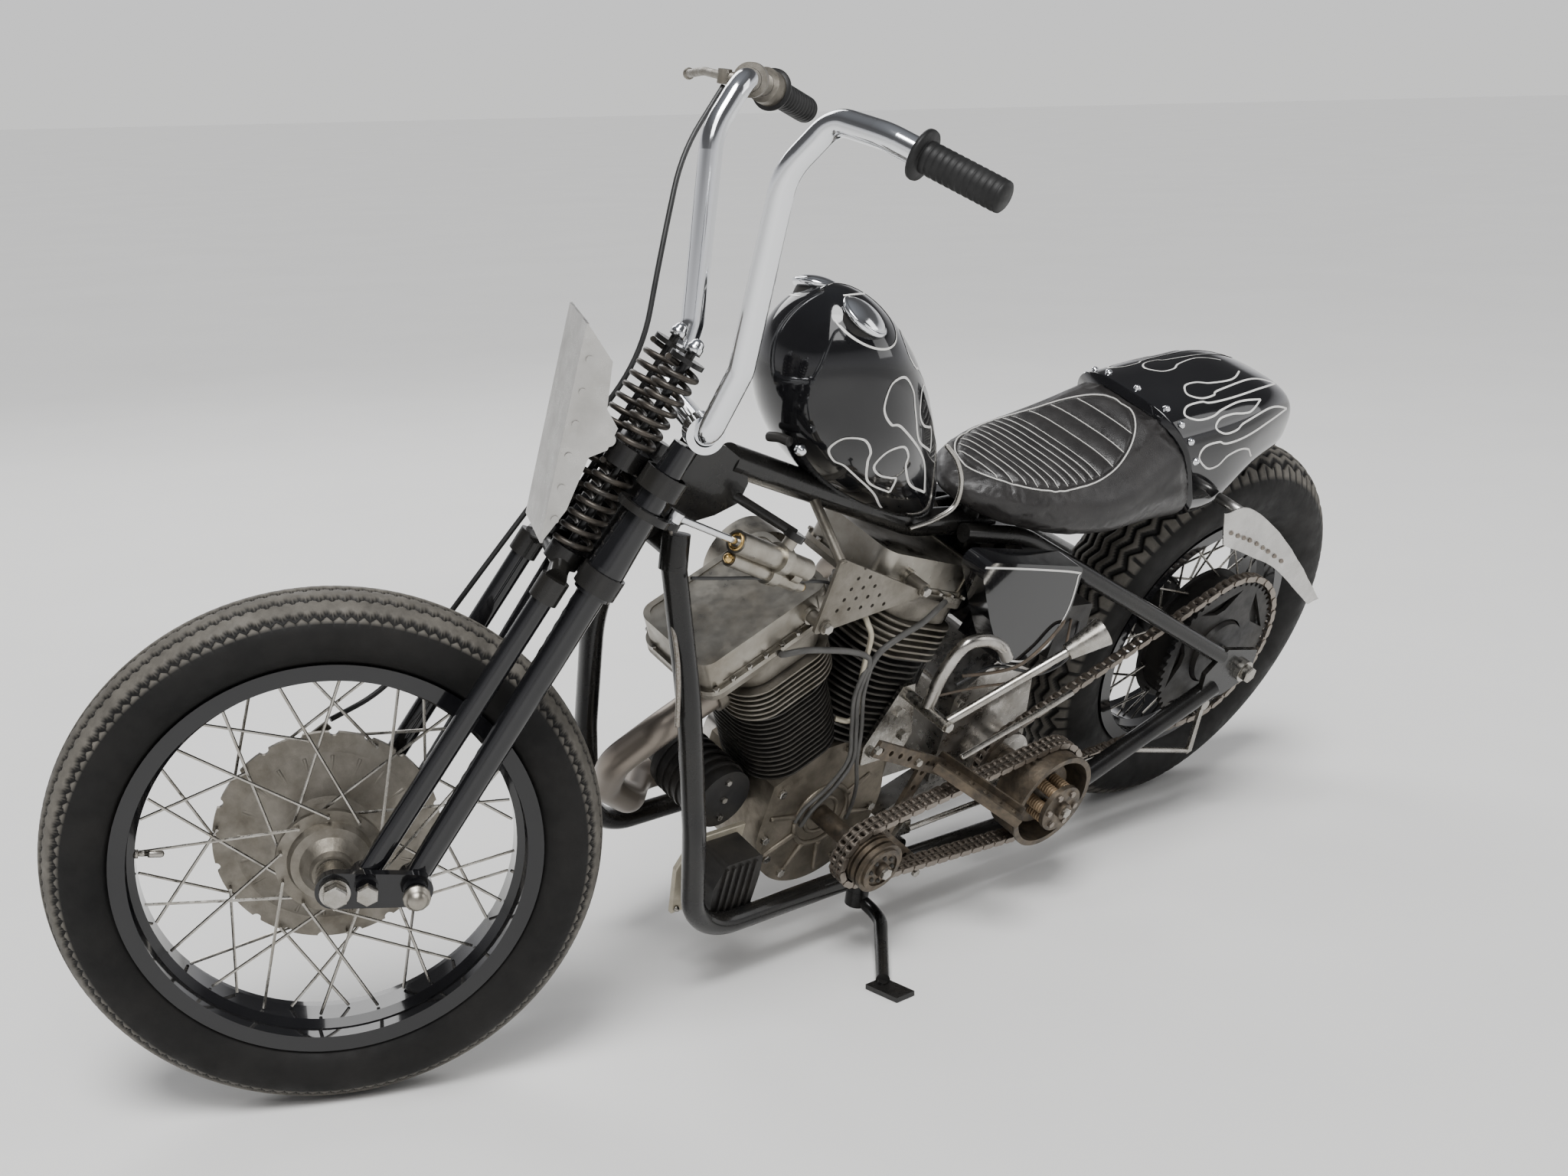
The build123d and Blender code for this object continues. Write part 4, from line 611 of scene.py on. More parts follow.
def tube(path: Array, radius: float | Array, sides: int = 12) -> Shape:
    """A round tube: path + radius (cos a across + sin a second), square to the path at each point.

    Args:
        path: Rows of points.
        radius: One radius, or one for each point.
        sides: Faces round it.

    Returns:
        The closed tube.
    """
    path = np.asarray(path, float)
    along = unit(np.gradient(path, axis=0))
    steady = np.linalg.svd(along)[2][-1]
    across = unit(np.cross(along, steady))
    second = np.cross(along, across)
    turn = full_turn(sides)
    reach = np.broadcast_to(radius, (len(path),))[:, None, None]
    rings = path[:, None] + reach * (np.cos(turn)[None, :, None] * across[:, None]
                                     + np.sin(turn)[None, :, None] * second[:, None])
    return lofted(rings)


def turned(profile: Sequence[tuple[float, float]], centre: Sequence[float], way: Sequence[float],
           sides: int = 48) -> Shape:
    """A turned piece: centre + height along the way + radius (cos a across + sin a second).

    Args:
        profile: Rows of (height, radius), open or closed.
        centre: Where height is zero.
        way: The direction of height.
        sides: Faces round it.

    Returns:
        The piece, its ends closed.
    """
    rows = np.asarray(profile, float)
    way = unit(way)
    helper = np.array([0.0, 1.0, 0.0]) if abs(way[1]) < 0.9 else np.array([1.0, 0.0, 0.0])
    across = unit(np.cross(way, helper))
    second = np.cross(way, across)
    turn = full_turn(sides)
    spin = np.cos(turn)[:, None] * across + np.sin(turn)[:, None] * second
    rings = np.asarray(centre, float) + rows[:, 0, None, None] * way + rows[:, 1, None, None] * spin[None]
    return lofted(rings)


CHAMFER_FROM = 0.86
CHAMFER_RADIUS = 0.43
DOME_ROWS = ((0.2, 0.38), (0.36, 0.22))
DOME_TOP = 0.4


def heads(places: Array, ways: Array, across: float, high: float, domed: bool = False) -> Shape:
    """Six-sided nut heads, or domed ones, all in one surface.

    Args:
        places: Rows of seat points.
        ways: The direction of each head, or one for all.
        across: Width over the corners.
        high: Height of the flats.
        domed: True for an acorn nut.

    Returns:
        Every head, from one template placed by a product of arrays.
    """
    places = np.atleast_2d(np.asarray(places, float))
    ways = unit(np.broadcast_to(np.asarray(ways, float), places.shape))
    rows = [(0.0, across / 2), (high * CHAMFER_FROM, across / 2), (high, across * CHAMFER_RADIUS)]
    if domed:
        rows += [(high + across * rise, across * share) for rise, share in DOME_ROWS]
        rows.append((high + across * DOME_TOP, 0.01))
    one = turned(rows, (0, 0, 0), (0, 0, 1), 12 if domed else 6)
    helper = np.where(np.abs(ways[:, :1]) < 0.9, np.array([[1.0, 0.0, 0.0]]), np.array([[0.0, 1.0, 0.0]]))
    first = unit(np.cross(ways, helper))
    second = np.cross(ways, first)
    basis = np.stack([first, second, ways], axis=1)
    points = places[:, None] + np.einsum("kc,mcd->mkd", one.points, basis)
    faces = one.faces[None] + (np.arange(len(places)) * len(one.points))[:, None, None]
    return Shape(points.reshape(-1, 3), faces.reshape(-1, 4)).outward()


@dataclass
class Workshop:
    """Turns shapes on the upright motorcycle into dressed pieces that ride on their bodies."""

    stance: Stance

    def place(self, points: Array, body: str) -> Array:
        """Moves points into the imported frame.

        Args:
            points: Rows on the upright motorcycle, in millimetres.
            body: The body that carries them.

        Returns:
            The rows in metres, turned with the fork where the body steers.
        """
        if body in ("fork", "front_wheel"):
            return self.stance.fork(points)
        return self.stance.frame(points)

    def piece(self, name: str, shape: Shape, finish: Finish, body: str, smooth: bool = True,
              replaces: Sequence[str] = (), wear: Optional[Array] = None) -> bpy.types.Object:
        """Makes one mesh object.

        Args:
            name: The piece's name.
            shape: Its surface on the upright motorcycle, in millimetres.
            finish: Its finish.
            body: The body that it rides on.
            smooth: True for rounded shading.
            replaces: CAD nodes that it stands for.
            wear: One value a point for the finish's wear attribute.

        Returns:
            The object.
        """
        mesh = bpy.data.meshes.new(name)
        mesh.from_pydata(self.place(shape.points, body), [], shape.faces)
        mesh.polygons.foreach_set("use_smooth", np.full(len(mesh.polygons), smooth))
        if wear is not None:
            layer = mesh.attributes.new("wear", "FLOAT", "POINT")
            layer.data.foreach_set("value", np.asarray(wear, np.float32))
        mesh.materials.append(finish.build())
        welder = bmesh.new()
        welder.from_mesh(mesh)
        bmesh.ops.remove_doubles(welder, verts=welder.verts, dist=1e-6)
        welder.to_mesh(mesh)
        welder.free()
        made = linked(name, mesh)
        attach(made, body)
        if replaces:
            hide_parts(*replaces)
        LOG.info("piece %s: %d faces on %s", name, len(shape.faces), body)
        return made


def arc(start: tuple[float, float], middle: tuple[float, float], end: tuple[float, float], count: int) -> Array:
    """Points on the circle through three points of a plane.

    Args:
        start: First point.
        middle: A point between.
        end: Last point.
        count: Points to make.

    Returns:
        Rows of coordinates: centre + radius (cos, sin) of angles spaced evenly from start to end.
    """
    (ax, ay), (bx, by), (cx, cy) = start, middle, end
    scale = 2 * (ax * (by - cy) + bx * (cy - ay) + cx * (ay - by))
    a, b, c = ax ** 2 + ay ** 2, bx ** 2 + by ** 2, cx ** 2 + cy ** 2
    ux = (a * (by - cy) + b * (cy - ay) + c * (ay - by)) / scale
    uy = (a * (cx - bx) + b * (ax - cx) + c * (bx - ax)) / scale
    radius = math.hypot(ax - ux, ay - uy)
    first, mid, last = (math.atan2(y - uy, x - ux) for x, y in (start, middle, end))
    mid = first + (mid - first + math.pi) % (2 * math.pi) - math.pi
    last = mid + (last - mid + math.pi) % (2 * math.pi) - math.pi
    angle = np.linspace(first, last, count)
    return np.column_stack([ux + radius * np.cos(angle), uy + radius * np.sin(angle)])


def ribbon(line: Array, lift: Array, half: float) -> Shape:
    """A flat stripe: the line moved by half its width to both sides, across its run and the surface normal.

    Args:
        line: Rows of points.
        lift: The surface normal at each.
        half: Half the width.

    Returns:
        The open stripe.
    """
    run = unit(np.gradient(line, axis=0))
    side = unit(np.cross(run, unit(lift)))
    points = np.stack([line - side * half, line + side * half], axis=1)
    return Shape(points.reshape(-1, 3), grid_faces(len(line), 2))


FLAME_BOW = 0.35
FLAME_REACH = 0.62
FLAME_RIM = ((-1.5, 0.5), (-0.6, 0.92), (0.45, 0.86))


def flame_line(tip: Sequence[float], bulb: Sequence[float], after: Sequence[float], stretch: float) -> Array:
    """One line of a common flame ornament, from a tongue's tip round the bulb below it to the next tip.

    Args:
        tip: (position, angle) of the upper tip.
        bulb: (position, angle, radius) of the rounded end between the tongues, its radius in positions.
        after: (position, angle) of the lower tip.
        stretch: Radians of angle that are as long as one unit of position.

    Returns:
        Rows of (position, angle): a smooth line through the bulb's rim and a bowed run to each tip.
    """
    place, angle, radius = bulb
    knots = [tip]
    for target, sign in ((tip, 1), (after, -1)):
        bow = sign * radius * stretch * FLAME_BOW
        far = (place + FLAME_REACH * (target[0] - place), angle + FLAME_REACH * (target[1] - angle) - bow)
        rim = [(place + ahead * radius, angle + sign * out * radius * stretch) for ahead, out in FLAME_RIM]
        knots += [far, *rim] if sign > 0 else [(place + radius, angle), *rim[::-1], far]
    return smooth_path([*knots, after], 150)


def flame_lines(tips: Profile, bulbs: Sequence[Point], stretch: float, side: int) -> list[tuple[Array, Array]]:
    """Every flame line of one side.

    Args:
        tips: (position, angle) of each tongue's tip, from the top down.
        bulbs: (position, angle, radius) of the rounded end between each pair of tongues.
        stretch: Radians of angle that are as long as one unit of position.
        side: 1 for the left, -1 for the right, where each angle is mirrored.

    Returns:
        The positions and the angles of each line.
    """
    lines = [flame_line(tip, bulb, after, stretch) for tip, bulb, after in zip(tips, bulbs, tips[1:])]
    return [(line[:, 0], line[:, 1] if side > 0 else math.pi - line[:, 1]) for line in lines]


def coordinates(mesh: bpy.types.Mesh) -> Array:
    """Reads the mesh's points.

    Args:
        mesh: The mesh.

    Returns:
        Rows of (x, y, z) in metres.
    """
    flat = np.empty(len(mesh.vertices) * 3, np.float32)
    mesh.vertices.foreach_get("co", flat)
    return flat.reshape(-1, 3).astype(float)


def bake(made: bpy.types.Object) -> None:
    """Applies every modifier of a piece to its mesh.

    Args:
        made: The piece's object, changed in place.
    """
    graph = bpy.context.evaluated_depsgraph_get()
    graph.update()
    mesh = bpy.data.meshes.new_from_object(made.evaluated_get(graph))
    old = made.data
    made.modifiers.clear()
    made.data = mesh
    mesh.polygons.foreach_set("use_smooth", np.full(len(mesh.polygons), True))
    bpy.data.meshes.remove(old)


@dataclass
class Tyre:
    """One tyre: a bulged section turned about the axle, with its grooves pressed in."""

    name: str
    node: str
    body: str
    centre: Point
    outer: float
    half: float
    flange: float
    bead_half: float
    tread: Tread
    around: int = 880
    across: int = 64
    notches: int = 84
    notch_depth: float = 3.2
    wall_points: int = 14
    shoulder_share: float = 0.86
    shoulder_drop: tuple[float, float] = (0.16, 10.0)
    ramp: float = 1.35
    notch_start: float = 0.66
    notch_ease: float = 5.0
    notch_wave: tuple[float, float] = (4.0, 2.2)
    pinch: float = 0.002
    liner: tuple[float, float] = (0.94, 3.0)

    def section(self) -> tuple[Array, Array]:
        """The outline from bead to bead.

        Returns:
            Rows of (side, radius), and for each row its share of tread (1) or wall (0).
        """
        share, drop = self.shoulder_drop
        shoulder_r = self.outer - share * (self.outer - self.flange) - drop
        shoulder = self.half * self.shoulder_share
        wall_r = (self.flange + shoulder_r) / 2
        edge = (-shoulder, shoulder_r)
        wall = arc((-self.bead_half, self.flange), (-self.half, wall_r), edge, self.wall_points)
        crown = arc(edge, (0, self.outer), (shoulder, shoulder_r), self.across)
        rows = np.vstack([wall[:-1], crown, wall[::-1][1:] * (-1, 1)])
        plain = np.zeros(self.wall_points - 1)
        return rows, np.concatenate([plain, np.ones(self.across), plain])

    def grooves(self, angle: Array, side: Array) -> Array:
        """Depth of the tread's grooves, and of the notches in its shoulders.

        Args:
            angle: Angles round the tyre, as a column.
            side: Places across the tyre, as a row.

        Returns:
            The deepest of two: a groove's depth times a ramp that falls with the distance from its middle line,
            side = middle + sway * triangle wave(angle), and notch depth * a clipped cosine of the angle.
        """
        deepest = np.zeros(np.broadcast_shapes(angle.shape, side.shape))
        for groove in self.tread.value:
            phase = angle * groove.waves / (2 * math.pi)
            tooth = 2 * np.abs(phase - np.floor(phase) - 0.5) * 2 - 1
            away = np.abs(side - groove.middle * self.half - groove.sway * tooth)
            deepest = np.maximum(deepest, groove.depth * np.clip(self.ramp - away / groove.half, 0, 1))
        if self.notches:
            edge = np.clip((np.abs(side) - self.half * self.notch_start) / self.notch_ease, 0, 1)
            steep, drop = self.notch_wave
            notch = np.clip(np.cos(angle * self.notches) * steep - drop, 0, 1) * edge
            deepest = np.maximum(deepest, self.notch_depth * notch)
        return deepest

    def build(self, shop: Workshop) -> None:
        """Makes the tyre: radius = outline radius minus groove depth, turned about the axle, on a plain liner.

        Args:
            shop: The workshop.
        """
        rows, on_tread = self.section()
        angle = full_turn(self.around)[:, None]
        side, radius = rows[None, :, 0], rows[None, :, 1]
        groove = self.grooves(angle, side) * on_tread
        side = np.broadcast_to(side, groove.shape) * (1 - groove * self.pinch)
        narrower, thick = self.liner
        liner = rows[[-1, 0]] * (narrower, 1) - (0, thick)
        side = np.hstack([side, np.broadcast_to(liner[:, 0], (self.around, 2))])
        reach = np.hstack([radius - groove, np.broadcast_to(liner[:, 1], (self.around, 2))])
        x, z = self.centre[0] + reach * np.cos(angle), self.centre[2] + reach * np.sin(angle)
        points = np.stack([x, side, z], axis=-1)
        wear = np.hstack([on_tread * np.clip(1 - groove / 2, 0, 1), np.zeros((self.around, 2))])
        shape = Shape(points.reshape(-1, 3), grid_faces(self.around, points.shape[1], True, True)).outward()
        shop.piece(self.name, shape, TYRE, self.body, replaces=(self.node,), wear=wear.reshape(-1))


@dataclass
class FuelTank:
    """The egg-shaped tank, its flame lines and its two filler caps."""

    middle: tuple[float, float] = (872.0, 859.0)
    tilt: float = 49.0
    half_long: float = 234.0
    half_wide: float = 99.0
    over: float = 60.0
    under: float = 126.0
    full: float = 0.5
    filler_seat: Point = (995.0, 42.0, 1022.0)
    filler_way: Point = (-0.35, 0.36, 1.0)
    cap_profile: Profile = (
        (-1, 30), (2.5, 33.4), (5, 34.2), (7.5, 33.6), (8.8, 31.8), (8.6, 30.6), (9.4, 30), (12.4, 25.5),
        (15.2, 18), (17.2, 8.5), (17.8, 0.1))
    neck_profile: Profile = ((-15, 29), (-9, 29.4), (-3, 28), (-0.6, 27.6), (-0.6, 12))
    tips: tuple[tuple[float, float], ...] = (
        (0.0, 1.4), (-0.34, 0.9), (-0.12, 0.42), (-0.46, 0.04), (-0.16, -0.48), (-0.4, -0.86))
    bulbs: tuple[Point, ...] = (
        (0.5, 1.06, 0.1), (0.22, 0.66, 0.1), (0.5, 0.24, 0.115), (0.16, -0.22, 0.1), (0.4, -0.62, 0.1))
    stretch: float = 2.5
    line_half: float = 1.6
    line_lift: float = 0.35
    loop_turn: float = 2.0
    loop_radius: float = 50.0
    loop_flare: float = 16.0

    @property
    def half_high(self) -> float:
        """Half the height of the fullest section."""
        return (self.over + self.under) / 2

    def axes(self) -> tuple[Array, Array]:
        """The egg's long axis and the axis that points out of its top."""
        tilt = math.radians(self.tilt)
        return np.array([math.cos(tilt), 0, math.sin(tilt)]), np.array([-math.sin(tilt), 0, math.cos(tilt)])

    def fullness(self, along: Array) -> Array:
        """The section's share of its full size: sqrt(1 - along^2) (1 + full * along)."""
        return np.sqrt(np.clip(1 - along ** 2, 0, 1)) * (1 + self.full * along)

    def surface(self, along: Array, turn: Array, lift: float = 0.0) -> Array:
        """Points of the egg.

        Args:
            along: Position from -1 at the tail to 1 at the nose.
            turn: Angle round the section, 0 on the left and a quarter turn on top.
            lift: How far off the surface the points lie, in millimetres.

        Returns:
            middle + along * half length on the long axis, + fullness * (half width cos turn, rise + half height
            sin turn) across it.
        """
        along, turn = np.broadcast_arrays(np.asarray(along, float), np.asarray(turn, float))
        fullness = self.fullness(along)
        way, top = self.axes()
        high = (self.over - self.half_high) * fullness + (self.half_high * fullness + lift) * np.sin(turn)
        wide = (self.half_wide * fullness + lift) * np.cos(turn)
        centre = np.array([self.middle[0], 0, self.middle[1]])
        return (centre + along[..., None] * self.half_long * way + high[..., None] * top
                + wide[..., None] * np.array(LEFTWARD))

    def shell(self) -> Shape:
        """The closed egg.

        Returns:
            Its surface on a grid of position, spaced by a cosine, and angle.
        """
        along = -np.cos(np.linspace(0.03, math.pi - 0.03, 120))[:, None]
        turn = full_turn(144)[None]
        return lofted(self.surface(along, turn))

    def stripe(self, along: Array, turn: Array) -> Shape:
        """A painted line that follows (position, angle) on the egg."""
        centre = self.surface(along, turn, self.line_lift)
        return ribbon(centre, self.surface(along, turn, 6.0) - centre, self.line_half)

    def flames(self) -> Shape:
        """Thin flame lines along both sides, and a loop round each filler.

        Returns:
            Every line in one surface.
        """
        lines = []
        for side in (1, -1):
            lines += [self.stripe(*line) for line in flame_lines(self.tips, self.bulbs, self.stretch, side)]
            lines.append(self.stripe(*self.loop(side)))
        return Shape.join(lines)

    def loop(self, side: int) -> tuple[Array, Array]:
        """The line round a filler: a horseshoe whose ends flare, open towards the nose.

        Args:
            side: 1 on the left, -1 on the right.

        Returns:
            Position and angle for each point: its place on the long axis, and the angle across it.
        """
        spin = np.linspace(-self.loop_turn, self.loop_turn, 120)
        way, top = self.axes()
        centre, out = self.filler(side)
        across = unit(np.cross(out, way))
        second = np.cross(across, out)
        reach = self.loop_radius + self.loop_flare * (spin / self.loop_turn) ** 4
        points = centre + reach[:, None] * (np.sin(spin)[:, None] * across - np.cos(spin)[:, None] * second)
        offset = points - np.array([self.middle[0], 0, self.middle[1]])
        along = np.clip(offset @ way / self.half_long, -0.985, 0.985)
        high = (offset @ top - (self.over - self.half_high) * self.fullness(along)) / self.half_high
        return along, np.arctan2(high, points[:, 1] / self.half_wide)

    def filler(self, side: int) -> tuple[Array, Array]:
        """The seat and the direction of the filler on a side, 1 for the left and -1 for the right."""
        flip = np.array([1, side, 1])
        return np.array(self.filler_seat) * flip, unit(np.array(self.filler_way) * flip)

    def fillers(self, profile: Profile, sides: int) -> Shape:
        """The same turned piece on both fillers."""
        return Shape.join([turned(profile, *self.filler(side), sides) for side in (1, -1)])

    def build(self, shop: Workshop) -> None:
        """Makes the tank, its lines, its caps and the dark necks under them.

        Args:
            shop: The workshop.
        """
        shop.piece("fuel_tank_shell", self.shell(), GLOSS_BLACK, "frame", replaces=("fuel_tank",))
        shop.piece("fuel_tank_flames", self.flames(), STRIPE, "frame")
        shop.piece("filler_caps", self.fillers(self.cap_profile, 96), CHROME, "frame", replaces=("tank_caps",))
        shop.piece("filler_necks", self.fillers(self.neck_profile, 72), SATIN_BLACK, "frame")


@dataclass(frozen=True)
class PadSections:
    """A closed form through outlines (x, half width, bottom, top), its last end cut by the slanted seam."""

    rows: tuple[tuple[float, float, float, float], ...]
    squareness: float = 3.1
    seam_slope: float = 102.0 / 173.0
    reach: float = 150.0

    def rings(self, count: int, sides: int, swell: float = 0.0) -> Array:
        """The outlines as arrays.

        Args:
            count: Rings along X.
            sides: Points in a ring.
            swell: Millimetres added all round.

        Returns:
            (count, sides, 3): each ring is |y / half|^n + |z / high|^n = 1, leaned towards the seam's slope by
            its nearness to the seam.
        """
        table = smooth_path(self.rows, count)
        x, half, low, top = (table[:, k, None] for k in range(4))
        turn = full_turn(sides)[None]
        cos, sin = np.cos(turn), np.sin(turn)
        y = (half + swell) * np.sign(cos) * np.abs(cos) ** (2 / self.squareness)
        rise = ((top - low) / 2 + swell) * np.sign(sin) * np.abs(sin) ** (2 / self.squareness)
        near = np.clip(1 - np.abs(x - self.rows[-1][0]) / self.reach, 0, 1) ** 1.5
        return np.stack([x + near * rise * self.seam_slope + 0 * y, y + 0 * x, (top + low) / 2 + rise], axis=-1)


@dataclass
class TailCowl:
    """The painted tail behind the seat, with its studs and flame lines."""

    form: PadSections = PadSections((
        (-27, 10, 738, 752), (-20, 34, 726, 768), (5, 68, 708, 800), (40, 86, 700, 821), (113, 105, 684, 836),
        (200, 118, 634, 832), (288.5, 118, 626, 822)))
    tips: tuple[tuple[float, float], ...] = ((0.66, 1.5), (0.5, 1.2), (0.7, 0.84), (0.52, 0.42), (0.72, -0.05))
    bulbs: tuple[Point, ...] = (
        (0.86, 1.36, 0.036), (0.91, 1.02, 0.042), (0.85, 0.64, 0.042), (0.92, 0.22, 0.045))
    stretch: float = 4.0
    line_half: float = 1.5
    line_lift: float = 0.4
    rings: int = 140
    sides: int = 180
    stud_row: float = 0.978
    studs: int = 9

    def point(self, along: Array, turn: Array, lift: float) -> Array:
        """Points on the cowl.

        Args:
            along: Share of the way from the tail's tip to the seam.
            turn: Angle round the section, 0 on the left and a quarter turn on top.
            lift: Millimetres off the surface.

        Returns:
            Rows of (x, y, z), found between the four nearest points of the outlines by straight shares.
        """
        rings = self.form.rings(self.rings, self.sides, lift)
        row = np.clip(along, 0, 1) * (self.rings - 1.001)
        column = (turn / (2 * math.pi) % 1) * self.sides
        r, c = row.astype(int), column.astype(int) % self.sides
        u, v = (row - r)[:, None], (column - column.astype(int))[:, None]
        low = rings[r, c] * (1 - v) + rings[r, (c + 1) % self.sides] * v
        high = rings[r + 1, c] * (1 - v) + rings[r + 1, (c + 1) % self.sides] * v
        return low * (1 - u) + high * u

    def stripe(self, along: Array, turn: Array) -> Shape:
        """A painted line that follows (position, angle) on the cowl."""
        centre = self.point(along, turn, self.line_lift)
        return ribbon(centre, self.point(along, turn, 6.0) - centre, self.line_half)

    def build(self, shop: Workshop) -> None:
        """Makes the cowl, its studs and its lines.

        Args:
            shop: The workshop.
        """
        shop.piece("tail_cowl_shell", lofted(self.form.rings(self.rings, 160)), GLOSS_BLACK, "frame",
                   replaces=("tail_cowl",))
        places = np.linspace(0.06, 0.94, self.studs) * math.pi
        row = np.full(self.studs, self.stud_row)
        seats = self.point(row, places, -0.5)
        ways = self.point(row, places, 6.0) - seats
        shop.piece("cowl_studs", heads(seats, ways, 12, 1.6, True), CHROME, "frame")
        lines = [self.stripe(*line) for side in (1, -1)
                 for line in flame_lines(self.tips, self.bulbs, self.stretch, side)]
        shop.piece("cowl_flames", Shape.join(lines), STRIPE, "frame")


@dataclass
class Seat:
    """The padded leather seat: swollen by a cloth simulation, then rolled, piped and stitched; the pale lines
    on its roll seams are partly a painted highlight.
    """

    form: PadSections = PadSections((
        (693, 8, 716, 724), (686, 26, 704, 734), (664, 58, 691, 745), (620, 94, 674, 751), (540, 127, 656, 752),
        (450, 140, 644, 763), (350, 131, 634, 796), (289.5, 125, 630, 814)), squareness=2.9)
    voxel: float = 0.0042
    pressure: float = 4.0
    tension: float = 18.0
    cap: float = 5.0
    shrink: float = -4.0
    frames: int = 20
    panel: tuple[float, float, float, float] = (505.0, 0.0, 150.0, 96.0)
    panel_front: float = 655.0
    narrow_roll: float = 16.0
    wide_front: float = 479.0
    wide_roll: float = 31.0
    roll_rise: tuple[float, float] = (3.2, 4.4)
    roll_round: float = 0.6
    roll_sink: float = 2.4
    channel_depth: float = 3.2
    channel_half: float = 0.035
    drop_height: float = 900.0
    line_out: float = 2.5
    line_lift: float = 0.2
    line_radius: float = 1.25
    seam_radius: float = 0.95

    def simulate(self, made: bpy.types.Object) -> None:
        """Swells the pad: voxel remesh, cloth with pressure and no gravity, a cap on each move, a subdivision.

        Args:
            made: The pad's object, changed in place.
        """
        remesh = made.modifiers.new("remesh", "REMESH")
        remesh.mode, remesh.voxel_size = "VOXEL", self.voxel
        bake(made)
        before = coordinates(made.data)
        cloth = made.modifiers.new("cloth", "CLOTH")
        cloth.settings.quality = 5
        cloth.settings.use_pressure = True
        cloth.settings.uniform_pressure_force = self.pressure
        cloth.settings.tension_stiffness = self.tension
        cloth.settings.effector_weights.gravity = 0.0
        cloth.point_cache.frame_start, cloth.point_cache.frame_end = 1, self.frames
        for number in range(1, self.frames + 1):
            bpy.context.scene.frame_set(number)
        bake(made)
        bpy.context.scene.frame_set(1)
        moved = coordinates(made.data) - before
        moved -= moved.mean(axis=0)
        length = np.linalg.norm(moved, axis=1, keepdims=True)
        limit = self.cap / MILLIMETRES
        before = before + moved * np.minimum(1.0, limit / np.maximum(length, 1e-9))
        made.data.vertices.foreach_set("co", before.reshape(-1))
        made.modifiers.new("round", "SUBSURF").levels = 1
        bake(made)

    def rolls(self, upright: Array, up: Array) -> Array:
        """How far each point rises for the sewn rolls.

        Args:
            upright: Points on the upright motorcycle, in millimetres.
            up: The upward share of each point's normal.

        Returns:
            Millimetres: inside the oval panel a power of |sin| of the place along the rolls, eleven narrow and
            four wide, with a sewn channel round the oval.
        """
        x, y = upright[:, 0], upright[:, 1]
        cx, cy, rx, ry = self.panel
        inside = 1 - ((x - cx) / rx) ** 2 - ((y - cy) / ry) ** 2
        low, high = self.roll_rise
        narrow = np.abs(np.sin(math.pi * (x - self.panel_front) / self.narrow_roll)) ** self.roll_round * low
        wide = np.abs(np.sin(math.pi * (x - self.wide_front) / self.wide_roll)) ** self.roll_round * high
        ridge = np.where(x > self.wide_front, narrow, wide) - self.roll_sink
        ramp = np.clip(inside * 9, 0, 1)
        channel = -self.channel_depth * np.exp(-(inside / self.channel_half) ** 2)
        return (ridge * ramp + channel) * np.clip(up * 3 - 0.6, 0, 1)

    def drop(self, shop: Workshop, tree: BVHTree, plan: Array, lift: float) -> Array:
        """Lets a line of (x, y) points down onto the pad.

        Args:
            shop: The workshop.
            tree: The pad's surface.
            plan: Rows of (x, y) on the upright motorcycle.
            lift: Millimetres above the surface.

        Returns:
            Rows of (x, y, z) on the upright motorcycle.
        """
        start = shop.stance.frame(np.column_stack([plan, np.full(len(plan), self.drop_height)]))
        down = Vector(-shop.stance.turn[:, 2])
        hits = [tree.ray_cast(Vector(row), down)[0] for row in start]
        found = np.array([hit if hit is not None else row for hit, row in zip(hits, start)])
        return shop.stance.back(found) + np.array([0, 0, lift])

    def trim(self, shop: Workshop, tree: BVHTree) -> None:
        """Makes a thin pale piping line round the panel and one on every seam between two rolls; the seam lines
        are partly pale piping and partly a painted highlight.

        Args:
            shop: The workshop.
            tree: The pad's surface.
        """
        cx, cy, rx, ry = self.panel
        turn = np.linspace(0, 2 * math.pi, 200)
        long, wide = rx + self.line_out, ry + self.line_out
        oval = self.drop(shop, tree, np.column_stack([cx + long * np.cos(turn), cy + wide * np.sin(turn)]),
                         self.line_lift)
        shop.piece("seat_panel_line", tube(oval, self.line_radius, 8), PIPING_AND_HIGHLIGHT, "frame")
        fine = np.arange(self.panel_front - self.narrow_roll, self.wide_front - 1, -self.narrow_roll)
        coarse = np.arange(self.wide_front - self.wide_roll, cx - rx + 5, -self.wide_roll)
        seams = []
        for x in (*fine, *coarse):
            reach = ry * math.sqrt(max(0.0, 1 - ((x - cx) / rx) ** 2)) - 3
            row = np.column_stack([np.full(40, x), np.linspace(cy - reach, cy + reach, 40)])
            # Pale seam tubes: partly light-grey piping, partly a painted highlight along the roll edges.
            seams.append(tube(self.drop(shop, tree, row, 0.0), self.seam_radius, 6))
        shop.piece("seat_roll_piping_and_highlight", Shape.join(seams), PIPING_AND_HIGHLIGHT, "frame")

    def build(self, shop: Workshop) -> None:
        """Makes the seat, its rolls, its piping and its stitched lines, whose pale colour is partly a painted
        highlight.

        Args:
            shop: The workshop.
        """
        shape = lofted(self.form.rings(90, 120, self.shrink))
        made = shop.piece("seat_cover", shape, LEATHER, "frame", replaces=("seat_pad",))
        self.simulate(made)
        points = coordinates(made.data)
        normals = np.empty(len(points) * 3, np.float32)
        made.data.vertices.foreach_get("normal", normals)
        normals = normals.reshape(-1, 3)
        upward = normals @ shop.stance.turn[:, 2]
        rise = self.rolls(shop.stance.back(points), upward)
        points = points + normals * (rise / MILLIMETRES)[:, None]
        made.data.vertices.foreach_set("co", points.reshape(-1))
        made.data.update()
        self.trim(shop, BVHTree.FromObject(made, bpy.context.evaluated_depsgraph_get()))


